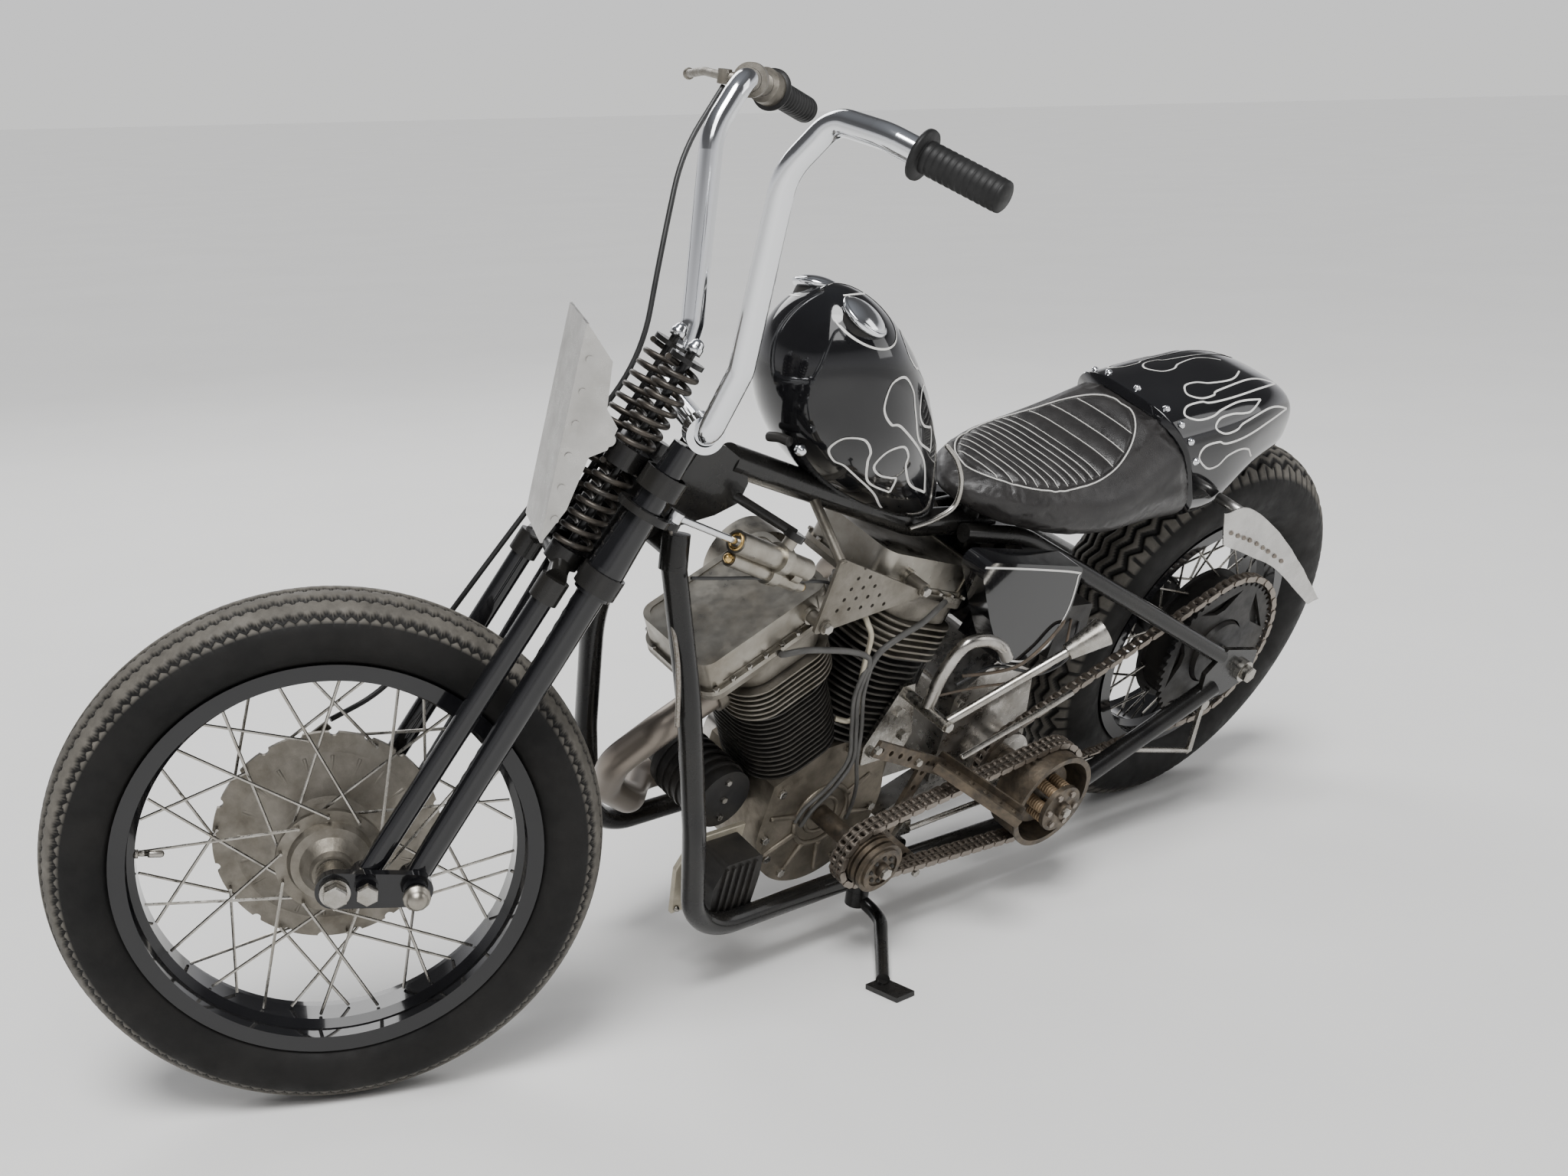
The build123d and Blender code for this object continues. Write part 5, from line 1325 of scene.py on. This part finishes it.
@dataclass
class RollerChain:
    """A roller chain round two sprockets, link by link; each sprocket is (x, z, pitch radius)."""

    name: str
    node: str
    first: Point
    second: Point
    side: float
    rows: tuple[float, ...]
    pitch: float
    plate_high: float
    roller: float
    gap: float
    plate_sides: int = 20
    plate_thick: float = 1.6
    roller_sides: int = 10
    plate_reach: float = 0.46
    plate_round: float = 0.55
    waist: tuple[float, float, float] = (0.78, 0.22, 1.6)
    clearances: tuple[float, float] = (0.2, 2.0)
    pin_share: float = 0.62
    pin_proud: float = 3.4

    def measure(self) -> tuple[float, float, float, float]:
        """The closed loop's measures.

        Returns:
            The heading between the sprockets, half the second one's arc, a straight run and the whole length.
        """
        (x1, z1, r1), (x2, z2, r2) = self.first, self.second
        apart = math.hypot(x2 - x1, z2 - z1)
        lean = math.acos((r1 - r2) / apart)
        run = math.sqrt(apart ** 2 - (r1 - r2) ** 2)
        return math.atan2(z2 - z1, x2 - x1), lean, run, 2 * run + r1 * (2 * math.pi - 2 * lean) + r2 * 2 * lean

    def place(self, travel: Array) -> Array:
        """Where a distance along the closed loop lies.

        Args:
            travel: Distances in millimetres.

        Returns:
            Rows of (x, z): two straight runs along the outer tangents, joined by an arc round each sprocket.
        """
        (x1, z1, r1), (x2, z2, r2) = self.first, self.second
        base, lean, run, whole = self.measure()
        travel = travel % whole
        arc_end = run + r2 * 2 * lean

        def rim(x: float, z: float, radius: float, angle: Array) -> Array:
            """Rows on a sprocket's pitch circle."""
            return np.array([x, z]) + radius * np.column_stack([np.cos(angle), np.sin(angle)])

        start, end = rim(x1, z1, r1, base + lean), rim(x2, z2, r2, base + lean)
        other, home = rim(x2, z2, r2, base - lean), rim(x1, z1, r1, base - lean)
        out = start + (end - start) * (travel / run)[:, None]
        round_small = rim(x2, z2, r2, base + lean - (travel - run) / r2)
        back = other + (home - other) * ((travel - arc_end) / run)[:, None]
        round_big = rim(x1, z1, r1, base - lean - (travel - arc_end - run) / r1)
        stages = [(travel < limit)[:, None] for limit in (run, arc_end, arc_end + run)]
        return np.select(stages, [out, round_small, back], round_big)

    @staticmethod
    def strips(rings: Sequence[Array], sides: Sequence[float]) -> Array:
        """Stands rings of (links, points, 2) at places across the motorcycle: (links, rings, points, 3)."""
        return np.stack([np.insert(ring, 1, side, axis=-1) for ring, side in zip(rings, sides)], axis=1)

    @staticmethod
    def skin(block: Array, flip: bool = False) -> Shape:
        """Joins each link's rings with faces.

        Args:
            block: Points as (links, rings, points of a ring, 3).
            flip: True to turn the faces round.

        Returns:
            Every link in one surface.
        """
        links, rings, points, _ = block.shape
        faces = grid_faces(rings, points, False, True)
        faces = faces[:, ::-1] if flip else faces
        every = faces[None] + (np.arange(links) * rings * points)[:, None, None]
        return Shape(block.reshape(-1, 3), every.reshape(-1, 4))

    def plates(self, row: float, middle: Array, run: Array, half: float) -> list[Shape]:
        """The plates of one row, every second link outside the others.

        Args:
            row: The row's place across the chain.
            middle: Rows of (x, z), the middle of each link.
            run: The direction of each link.
            half: Half a link's length.

        Returns:
            Plates with a waist: long cos(angle) ahead and high sin(angle)^round (least + swing |cos|) across.
        """
        turn = full_turn(self.plate_sides)
        ahead = np.cos(turn) * (half + self.plate_high * self.plate_reach)
        least, swing, rate = self.waist
        waist = least + swing * np.minimum(1, np.abs(np.cos(turn)) * rate)
        high = np.sign(np.sin(turn)) * np.abs(np.sin(turn)) ** self.plate_round * self.plate_high / 2 * waist
        shapes = []
        for link, clearance in enumerate(self.clearances):
            mid, way = middle[link::2], run[link::2]
            normal = np.column_stack([-way[:, 1], way[:, 0]])
            flat = mid[:, None] + ahead[None, :, None] * way[:, None] + high[None, :, None] * normal[:, None]
            point = np.broadcast_to(mid[:, None], flat.shape)
            for sign in (-1, 1):
                face = self.side + (row + sign * (self.gap / 2 + clearance))
                far = face + sign * self.plate_thick
                block = self.strips((point, flat, flat, point), (face, face, far, far))
                shapes.append(self.skin(block, sign < 0))
        return shapes

    def rollers(self, row: float, pins: Array) -> Shape:
        """A roller with its two pin heads at each pin of one row.

        Args:
            row: The row's place across the chain.
            pins: Rows of (x, z).

        Returns:
            Every roller in one surface.
        """
        spin = full_turn(self.roller_sides)
        circle = np.column_stack([np.cos(spin), np.sin(spin)]) * (self.roller / 2)
        pin, wide = (pins[:, None] + circle[None] * share for share in (self.pin_share, 1))
        inner, outer = self.gap / 2 - self.clearances[0], self.gap / 2 + self.pin_proud
        sides = [self.side + row + place for place in (-outer, -inner, inner, outer)]
        return self.skin(self.strips((pin, wide, wide, pin), sides))

    def build(self, shop: Workshop) -> None:
        """Makes every plate and roller.

        Args:
            shop: The workshop.
        """
        length = self.measure()[-1]
        count = int(round(length / self.pitch / 2)) * 2
        pins = self.place(np.arange(count) * length / count)
        ahead = np.roll(pins, -1, axis=0)
        middle, run = (pins + ahead) / 2, unit(ahead - pins)
        shapes = []
        for row in self.rows:
            shapes += [*self.plates(row, middle, run, length / count / 2), self.rollers(row, pins)]
        shop.piece(self.name, Shape.join(shapes), DARK_STEEL, "frame", False, (self.node,))


def facing(way: Point, *places: Point) -> Seats:
    """Seats that all face one way."""
    return tuple((*place, *way) for place in places)


def on_left(side: float, *spots: tuple[float, float]) -> Seats:
    """Seats at (x, z) spots on a face that looks left, side millimetres from the middle."""
    return tuple((x, side, z, *LEFTWARD) for x, z in spots)


def on_right(side: float, *spots: tuple[float, float]) -> Seats:
    """Seats at (x, z) spots on a face that looks right, side millimetres from the middle."""
    return tuple((x, -side, z, *RIGHTWARD) for x, z in spots)


@dataclass(frozen=True)
class Fasteners:
    """Equal nuts, bolts or studs in one piece; each seat is (x, y, z) and the way that it faces."""

    name: str
    across: float
    high: float
    seats: Seats
    finish: Finish = BRIGHT_STEEL
    body: str = "frame"
    domed: bool = False

    def build(self, shop: Workshop) -> None:
        """Makes every head in one mesh.

        Args:
            shop: The workshop.
        """
        table = np.asarray(self.seats, float)
        shape = heads(table[:, :3], table[:, 3:], self.across, self.high, self.domed)
        shop.piece(self.name, shape, self.finish, self.body, self.domed)


def on_circle(centre: tuple[float, float], radius: float, angles: Array, side: float) -> Array:
    """Points round a shaft that runs across the motorcycle.

    Args:
        centre: The shaft's (x, z).
        radius: Distance from it.
        angles: Angles in radians.
        side: Place across the motorcycle.

    Returns:
        Rows of (x + radius cos, side, z + radius sin).
    """
    x, z = centre
    across = np.full(len(angles), side)
    return np.column_stack([x + radius * np.cos(angles), across, z + radius * np.sin(angles)])


@dataclass
class EngineTrim:
    """Screws, ribs, sleeves and plates of the engine, placed along its two cylinders and round its shafts."""

    crank: tuple[float, float] = (838.0, 235.0)
    clutch: tuple[float, float] = (480.0, 245.0)
    tilts: tuple[tuple[float, float], ...] = ((26.5, 16.0), (-18.5, 34.0))
    lip_out: float = 366.2
    lip_half_long: float = 96.0
    lip_end: float = 109.2
    lip_sides: tuple[float, float] = (64.2, -86.2)
    lip_end_sides: tuple[float, float] = (-55.0, 30.0)
    case_side: float = 72.0
    boss_radius: float = 50.0
    ribs: tuple[tuple[float, float], ...] = (
        (-168, 106), (-135, 108), (-100, 108), (-62, 108), (-25, 108), (12, 104), (148, 96))
    rib_radii: tuple[float, float] = (5.0, 3.6)
    boss_rings: Profile = ((50.0, 4.5), (30.0, 3.5))
    rim_bolts: tuple[float, ...] = (-150, -120, -60, -30, -8, 188)
    rim_radius: float = 104.0
    upper_bolts: Profile = ((818, 348), (932, 300))
    pulley_side: float = 206.0
    # Radius of the eight dark discs that paint the shade inside the pulley face's holes.
    hole_disc_radius: float = 20.0
    clutch_radius: float = 28.0
    post_top: float = 224.0
    sleeve: tuple[float, float] = (179.5, 36.0)
    sleeve_radius: float = 8.6
    coil_high: float = 0.9
    coil_pitch: float = 4.5
    plate_outline: Profile = (
        (1071, 118.6), (975, 118.6), (970.6, 180), (970.6, 247.4), (1063, 247.4), (1083.6, 200))
    plate_edges: Profile = ((49.0, 0.985), (50.0, 1.0), (56.2, 1.0), (57.4, 0.985))

    def along(self, tilt: float, distance: float, ahead: Array, side: Array) -> Array:
        """Points by a cylinder.

        Args:
            tilt: The cylinder's lean in degrees.
            distance: Out from the crankshaft.
            ahead: Ahead of the cylinder's line.
            side: To the left.

        Returns:
            crank + distance (sin, cos) + ahead (cos, -sin), as rows of (x, y, z).
        """
        angle = math.radians(tilt)
        x = self.crank[0] + distance * math.sin(angle) + ahead * math.cos(angle)
        z = self.crank[1] + distance * math.cos(angle) - ahead * math.sin(angle)
        return np.column_stack([x, side, z])

    def lip_screws(self) -> Shape:
        """The screws round each rocker cover's lip.

        Returns:
            Eight on each long side and two at each end, for both covers.
        """
        shapes = []
        long = np.linspace(-self.lip_half_long, self.lip_half_long, 8)
        near, far = self.lip_sides
        sides = np.concatenate([np.full(8, near), np.full(8, far), self.lip_end_sides * 2])
        for tilt, ahead in self.tilts:
            ends = np.repeat([self.lip_end, -self.lip_end], 2)
            places = np.concatenate([ahead + long, ahead + long, ahead + ends])
            angle = math.radians(tilt)
            seats = self.along(tilt, self.lip_out, places, sides)
            shapes.append(heads(seats, (math.sin(angle), 0, math.cos(angle)), 8.5, 4.5))
        return Shape.join(shapes)

    def case_ribs(self) -> Shape:
        """Cast ribs that run out from the shaft's boss, and the boss's two rings.

        Returns:
            Tubes half sunk in the case: a tapered one for each (degrees, end), and two round ones.
        """
        shapes = []
        x, z = self.crank
        for degrees, reach in self.ribs:
            angle = math.radians(degrees)
            out = np.linspace(self.boss_radius, reach, 12)
            side = np.linspace(self.case_side + 1, self.case_side, 12)
            path = np.column_stack([x + out * math.cos(angle), side, z + out * math.sin(angle)])
            shapes.append(tube(path, np.linspace(*self.rib_radii, 12), 12))
        turn = np.linspace(0, 2 * math.pi, 90)
        for radius, thick in self.boss_rings:
            shapes.append(tube(on_circle(self.crank, radius, turn, self.case_side), thick, 12))
        return Shape.join(shapes)

    def sleeves(self) -> Shape:
        """The clutch's six spring sleeves.

        Returns:
            Turned pieces whose radius is sleeve radius + coil height * |sin| of the place along each.
        """
        start, long = self.sleeve
        height = np.linspace(0, long, 73)
        coils = np.abs(np.sin(height * math.pi / self.coil_pitch))
        rows = np.column_stack([height, self.sleeve_radius + self.coil_high * coils])
        seats = on_circle(self.clutch, self.clutch_radius, np.arange(6) * math.pi / 3, start)
        return Shape.join([turned(rows, seat, LEFTWARD, 24) for seat in seats])

    def regulator_plate(self) -> Shape:
        """The pale edge plate behind the black box.

        Returns:
            Its outline, each side in twelve steps, drawn out across the motorcycle with its edges eased.
        """
        outline = np.array(self.plate_outline)
        share = np.linspace(0, 1, 13)[:-1, None]
        pairs = zip(outline, np.roll(outline, -1, axis=0))
        edge = np.concatenate([a * (1 - share) + b * share for a, b in pairs])
        middle = edge.mean(axis=0)
        return lofted(np.array([np.insert(middle + (edge - middle) * size, 1, y, axis=1)
                                for y, size in self.plate_edges]))

    def build(self, shop: Workshop) -> None:
        """Makes every small piece of the engine.

        Args:
            shop: The workshop.
        """
        shop.piece("cover_screws", self.lip_screws(), BRIGHT_STEEL, "frame", False)
        shop.piece("crankcase_ribs", self.case_ribs(), WARM_CASE, "frame")
        shop.piece("clutch_spring_sleeves", self.sleeves(), TAN, "frame")
        shop.piece("regulator_edge_plate", self.regulator_plate(), CREAM, "frame", False)
        posts = on_circle(self.clutch, self.clutch_radius, np.arange(6) * math.pi / 3, self.post_top)
        shop.piece("clutch_post_nuts", heads(posts, LEFTWARD, 11, 4), DARK_STEEL, "frame", False)
        # Painted shade: eight dark domed discs on the pulley face stand in for its shaded holes.
        studs = on_circle(self.crank, self.hole_disc_radius, np.arange(8) * math.pi / 4, self.pulley_side)
        shop.piece("pulley_hole_painted_shade", heads(studs, LEFTWARD, 7, 1.4, True), IRON, "frame")
        rim = on_circle(self.crank, self.rim_radius, np.radians(self.rim_bolts), self.case_side)
        seats = np.vstack([rim, [(x, self.case_side, z) for x, z in self.upper_bolts]])
        shop.piece("crankcase_bolts", heads(seats, LEFTWARD, 14, 6), BRIGHT_STEEL, "frame", False)


@dataclass(frozen=True)
class Valve:
    """A valve stem on a rim, with its cap."""

    name: str
    body: str
    axle: tuple[float, float]
    reach: float
    side: float = 12.0
    profile: Profile = (
        (-2, 5.5), (3, 5.5), (3, 3.2), (14, 3.2), (14, 4.4), (17, 4.6), (29, 4.4), (32, 3.2), (33, 0.1))

    def build(self, shop: Workshop) -> None:
        """Turns the stem, a nut, a thin neck and a cap, pointing from the rim to the axle.

        Args:
            shop: The workshop.
        """
        x, z = self.axle
        stem = turned(self.profile, (x + self.reach, self.side, z), (-1, 0, 0), 20)
        shop.piece(self.name, stem, BRIGHT_STEEL, self.body)


@dataclass
class PaintedLines:
    """White lines that edge the oil tank, inside its outline."""

    edge: Profile = (
        (708, 657), (600, 633), (496, 607), (488, 596), (485, 541), (504, 487), (520, 476), (550, 465),
        (594, 478), (606, 490))
    side: float = 120.35
    half: float = 1.6

    def build(self, shop: Workshop) -> None:
        """Makes a ribbon on both faces, turned to face outward.

        Args:
            shop: The workshop.
        """
        lines = []
        x, z = smooth_path(self.edge, 160).T
        for way in (LEFTWARD, RIGHTWARD):
            path = np.column_stack([x, np.full(len(x), way[1] * self.side), z])
            lines.append(ribbon(path, np.tile(way, (len(x), 1)), self.half))
        shop.piece("oil_tank_lines", Shape.join(lines), STRIPE, "frame")


@dataclass
class DamperRing:
    """The gold ring at the end of the steering damper's body."""

    front: Point = (1153.1, 82.8, 760.1)
    radius: float = 9.4
    thick: float = 2.2

    def build(self, shop: Workshop) -> None:
        """Makes a ring round the rod, from a circle of points square to the damper's way.

        Args:
            shop: The workshop.
        """
        way = unit(DAMPER_WAY)
        across = unit(np.cross(way, LEFTWARD))
        turn = np.linspace(0, 2 * math.pi, 60)[:, None]
        circle = np.cos(turn) * across + np.sin(turn) * np.cross(way, across)
        path = np.array(self.front) + self.radius * circle
        shop.piece("damper_gold_ring", tube(path, self.thick, 10), BRASS, "damper_body")


@dataclass(frozen=True)
class Lead:
    """A cable, hose, pipe or bent rod that is held at both ends."""

    name: str
    finish: Finish
    diameter: float
    points: tuple[Point, ...]

    def build(self, shop: Workshop) -> None:
        """Makes one smooth tube through the points.

        Args:
            shop: The workshop.
        """
        path = smooth_path(self.points, 24 * len(self.points))
        shop.piece(self.name, tube(path, self.diameter / 2, 10), self.finish, "frame")


@dataclass
class Grips:
    """Ribbed rubber grips with a flange at their inner end."""

    start: Point = (1095.0, 280.0, 1270.9)
    end: Point = (998.0, 375.0, 1231.9)
    length: float = 104.0
    rib: float = 7.5
    rubber_radius: float = 16.9
    flange: Profile = ((0, 15.4), (0, 27.5), (3, 28), (6, 27.2), (6.6, 18))

    def build(self, shop: Workshop) -> None:
        """Turns both grips: radius = rubber radius + sqrt |sin|, with a flange and a rounded end.

        Args:
            shop: The workshop.
        """
        way = unit(np.array(self.end) - np.array(self.start))
        tip = np.array(self.end) + way * 3
        height = np.linspace(7, self.length - 5, 150)
        ribs = np.abs(np.sin(height * math.pi / self.rib)) ** 0.5
        body = np.column_stack([height, self.rubber_radius + ribs])
        rows = [*self.flange, *body, (self.length - 2, 17), (self.length, 14)]
        flips = np.array([(1, 1, 1), (1, -1, 1)])
        shapes = [turned(rows, (tip - way * self.length) * flip, way * flip, 40) for flip in flips]
        shop.piece("ribbed_grips", Shape.join(shapes), RUBBER, "fork", replaces=("grips",))


@dataclass
class SidePlate:
    """The crumpled aluminium plate beside the rear wheel, with its rivets and its strut."""

    upper: Profile = ((270, 700), (196, 694), (60, 610), (-110, 470))
    lower: Profile = ((240, 640), (150, 602), (60, 560), (-80, 466))
    rivet_line: Profile = ((232, 660), (150, 626), (60, 578))
    rivets: int = 9
    side: float = 178.0
    half_thick: float = 1.0
    folds: Seats = ((1.0, 0.027, 0.034, 0.6), (0.7, 0.049, -0.03, 1.9))
    fold_depth: float = 1.9
    fold_level: float = 1.1
    swell_depth: float = 0.4
    strut: tuple[Point, ...] = ((200, 117.5, 682), (200, 150, 682), (200, 177, 682))
    strut_radius: float = 8.0

    def dent(self, x: Array, z: Array) -> Array:
        """How far the crumpled plate stands out.

        Args:
            x: Places ahead.
            z: Heights.

        Returns:
            depth * (level - sum of share |sin(a x + b z + start)|) for the folds, and a soft sine swell.
        """
        folds = sum(share * np.abs(np.sin(x * a + z * b + start)) for share, a, b, start in self.folds)
        swell = self.swell_depth * np.sin(x * 0.19 + 2.0) * np.sin(z * 0.17)
        return self.fold_depth * (self.fold_level - folds) + swell

    def build(self, shop: Workshop) -> None:
        """Makes the plate: rows between its two edges, creased and dented, its rivets and its strut.

        Args:
            shop: The workshop.
        """
        top, low = smooth_path(self.upper, 160), smooth_path(self.lower, 160)
        share = np.linspace(0, 1, 60)[None, :, None]
        flat = top[:, None] * (1 - share) + low[:, None] * share
        x, z = flat[..., 0], flat[..., 1]
        dent = self.dent(x, z)
        near = np.stack([x, self.side + self.half_thick + dent, z], axis=-1)
        far = np.stack([x, self.side - self.half_thick + dent, z], axis=-1)
        plate = lofted(np.concatenate([near, far[:, ::-1]], axis=1))
        shape = Shape.join([plate, tube(np.array(self.strut), self.strut_radius, 20)])
        shop.piece("crumpled_side_plate", shape, SHEET_ALLOY, "frame", replaces=("side_plate",))
        x, z = smooth_path(self.rivet_line, self.rivets).T
        seats = np.column_stack([x, self.side + 0.8 + self.dent(x, z), z])
        shop.piece("side_plate_rivets", heads(seats, LEFTWARD, 8, 1.2, True), DARK_STEEL, "frame")


TYRES = (
    Tyre("front_tyre_tread", "front_tyre", "front_wheel", (1592.0, 0.0, 335.0), 335.0, 54.0, 257.0, 38.0,
         Tread.SAWTOOTH, around=1400, across=40, notches=0),
    Tyre("rear_tyre_tread", "rear_tyre", "rear_wheel", (0.0, 0.0, 340.0), 340.0, 66.0, 220.0, 45.0,
         Tread.BLOCK),
)
CHAINS = (
    RollerChain("rear_chain_links", "rear_chain", (0.0, 340.0, 140.0), (480.0, 245.0, 58.0), side=93.0,
                rows=(0.0,), pitch=15.875, plate_high=12.6, roller=10.0, gap=9.0),
    RollerChain("primary_chain_links", "primary_chain", (480.0, 245.0, 84.0), (838.0, 235.0, 48.0),
                side=168.0, rows=(-6.5, 6.5), pitch=12.7, plate_high=11.4, roller=8.4, gap=5.0),
)
VALVES = (
    Valve("front_valve", "front_wheel", (1592.0, 335.0), 225.0),
    Valve("rear_valve", "rear_wheel", (0.0, 340.0), 187.0),
)
GEARBOX_RIM = ((586, 230), (586, 358), (518, 406), (446, 370), (418, 256))
FASTENERS = (
    Fasteners("axle_nuts", 30, 12, on_left(121, (1592, 335)) + on_right(121, (1592, 335)), body="fork"),
    Fasteners("rear_axle_nuts", 30, 12, on_left(164, (0, 340)) + on_right(164, (0, 340))),
    Fasteners("spring_rod_nuts", 20, 10, facing(FORK_UP, (1218.1, 45, 984), (1218.1, -45, 984)), CHROME,
              "fork", True),
    Fasteners("rocker_bolts", 27, 8, on_left(129, (1556, 340)) + on_right(129, (1556, 340)), body="fork"),
    Fasteners("rocker_bushes", 33, 5, on_left(129, (1498.5, 334.5)) + on_right(129, (1498.5, 334.5)),
              SATIN_ALLOY, "fork", True),
    Fasteners("brace_bolts", 16, 7, on_left(95.5, (964, 600), (790, 622))),
    Fasteners("cam_cover_bolts", 11, 5, on_right(
        105.5, (768, 206), (784, 304), (916, 302), (928, 214), (838, 162))),
    Fasteners("gearbox_bolts", 13, 6, on_left(59.5, *GEARBOX_RIM) + on_right(85.5, *GEARBOX_RIM, (444, 214))),
    Fasteners("generator_bolts", 10, 5, on_left(43.5, (1014, 324), (1014, 264), (1014, 294))),
    Fasteners("pulley_bolt", 19, 6, on_left(214.5, (838, 235))),
    Fasteners("clutch_bolt", 17, 6, on_left(231.5, (480, 245))),
    Fasteners("lever_bolts", 17, 7, on_left(166.5, (742, 430))
              + on_left(81.8, (782, 338), (724, 352), (748, 400))),
    Fasteners("control_bolts", 13, 6, on_left(150.5, (856, 410), (760, 362), (782, 232))
              + on_left(175.5, (719, 167))),
    Fasteners("damper_screws", 13, 3, facing(DAMPER_WAY, (1158.2, 82.6, 736.9))
              + facing(DAMPER_BACK, (1014.8, 77.9, 663.9)), BRASS, "damper_body", True),
    Fasteners("tank_mount_bolt", 15, 6, on_left(58, (1062, 862)), CHROME, domed=True),
    Fasteners("regulator_bolts", 9, 4, on_left(57, (1066, 128), (1064, 238)), domed=True),
)
LEADS = (
    Lead("front_plug_lead", GREY_HOSE, 9, (
        (998, 62, 546), (1007, 74, 554), (985, 88, 564), (947, 90, 557), (894, 88, 541), (856, 88, 523),
        (848, 88, 500))),
    Lead("rear_plug_lead", GREY_HOSE, 9, (
        (706, 70, 570), (736, 84, 572), (770, 92, 562), (806, 92, 548), (836, 90, 528), (846, 88, 500))),
    Lead("hose_one", GREY_HOSE, 7, (
        (848, 88, 505), (856, 92, 460), (840, 92, 400), (830, 94, 345), (850, 92, 300), (872, 84, 262),
        (878, 76, 228))),
    Lead("hose_two", GREY_HOSE, 6, (
        (853, 88, 505), (864, 92, 462), (850, 92, 404), (840, 94, 348), (864, 90, 300), (886, 82, 268),
        (892, 76, 240))),
    Lead("hose_three", GREY_HOSE, 6, (
        (843, 88, 505), (847, 93, 460), (831, 94, 398), (822, 96, 340), (806, 94, 296), (790, 84, 250),
        (784, 76, 214))),
    Lead("oil_pipe", CREAM, 8, (
        (872, 70, 590), (872, 84, 580), (860, 87, 556), (856, 86, 512), (850, 86, 462), (838, 84, 424),
        (846, 80, 408), (864, 70, 410))),
    Lead("braided_cable", BRAID, 6.5, (
        (1217, 29, 766), (1220, 40, 748), (1223, 46, 720), (1218, 56, 680), (1217, 88, 628), (1217, 107, 588),
        (1208, 116, 520))),
    Lead("clutch_cable", CABLE, 4.5, (
        (1206, 76, 714), (1160, 82, 708), (1111, 84, 700), (1040, 82, 680), (975, 80, 664), (952, 82, 652))),
    Lead("tank_rear_pipe", BRIGHT_STEEL, 7.5, (
        (726, 6, 790), (712, 20, 772), (700, 30, 740), (704, 34, 706), (734, 32, 688), (772, 24, 676))),
    Lead("tank_mount_arm", SATIN_BLACK, 13, ((1062, 4, 850), (1062, 22, 858), (1062, 40, 862))),
    Lead("kidney_lever", POLISHED, 19, (
        (742, 124, 436), (744, 134, 500), (728, 142, 546), (694, 148, 552), (660, 152, 536), (640, 154, 514))),
    Lead("shift_rod", BRIGHT_STEEL, 9, ((691, 170, 363), (620, 171, 384), (548, 171, 403), (477, 170, 423))),
    Lead("tray_wire_one", WIRE, 5, (
        (470, 109, 520), (496, 125, 516), (530, 126, 484), (566, 124, 462), (604, 112, 452), (640, 90, 440))),
    Lead("tray_wire_two", WIRE, 4, (
        (452, 109, 510), (470, 126, 470), (500, 126, 440), (560, 120, 430), (620, 104, 424), (680, 84, 410))),
    Lead("tray_wire_three", CABLE, 5, (
        (430, 109, 500), (450, 124, 450), (500, 120, 430), (540, 110, 440), (590, 98, 450), (640, 84, 420))),
)


def dress_nodes(nodes: dict[str, bpy.types.Object]) -> None:
    """Gives every CAD node its finish.

    Args:
        nodes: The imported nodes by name.
    """
    for name, node in nodes.items():
        finish = NODE_FINISH[name]
        node.data.materials.clear()
        node.data.materials.append(finish.build())
        LOG.info("node %s: %s", name, finish.name)


def main() -> None:
    logging.basicConfig(level=logging.INFO, format="%(name)s: %(message)s")
    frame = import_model()
    stance = Stance(frame["joints"])
    Studio().build(stance)
    dress_nodes(frame["nodes"])
    shop = Workshop(stance)
    for part in (*TYRES, FuelTank(), TailCowl(), Seat(), *CHAINS, Grips(), SidePlate(), EngineTrim(),
                 PaintedLines(), *VALVES, DamperRing(), *FASTENERS, *LEADS):
        part.build(shop)


if __name__ == "__main__":
    main()
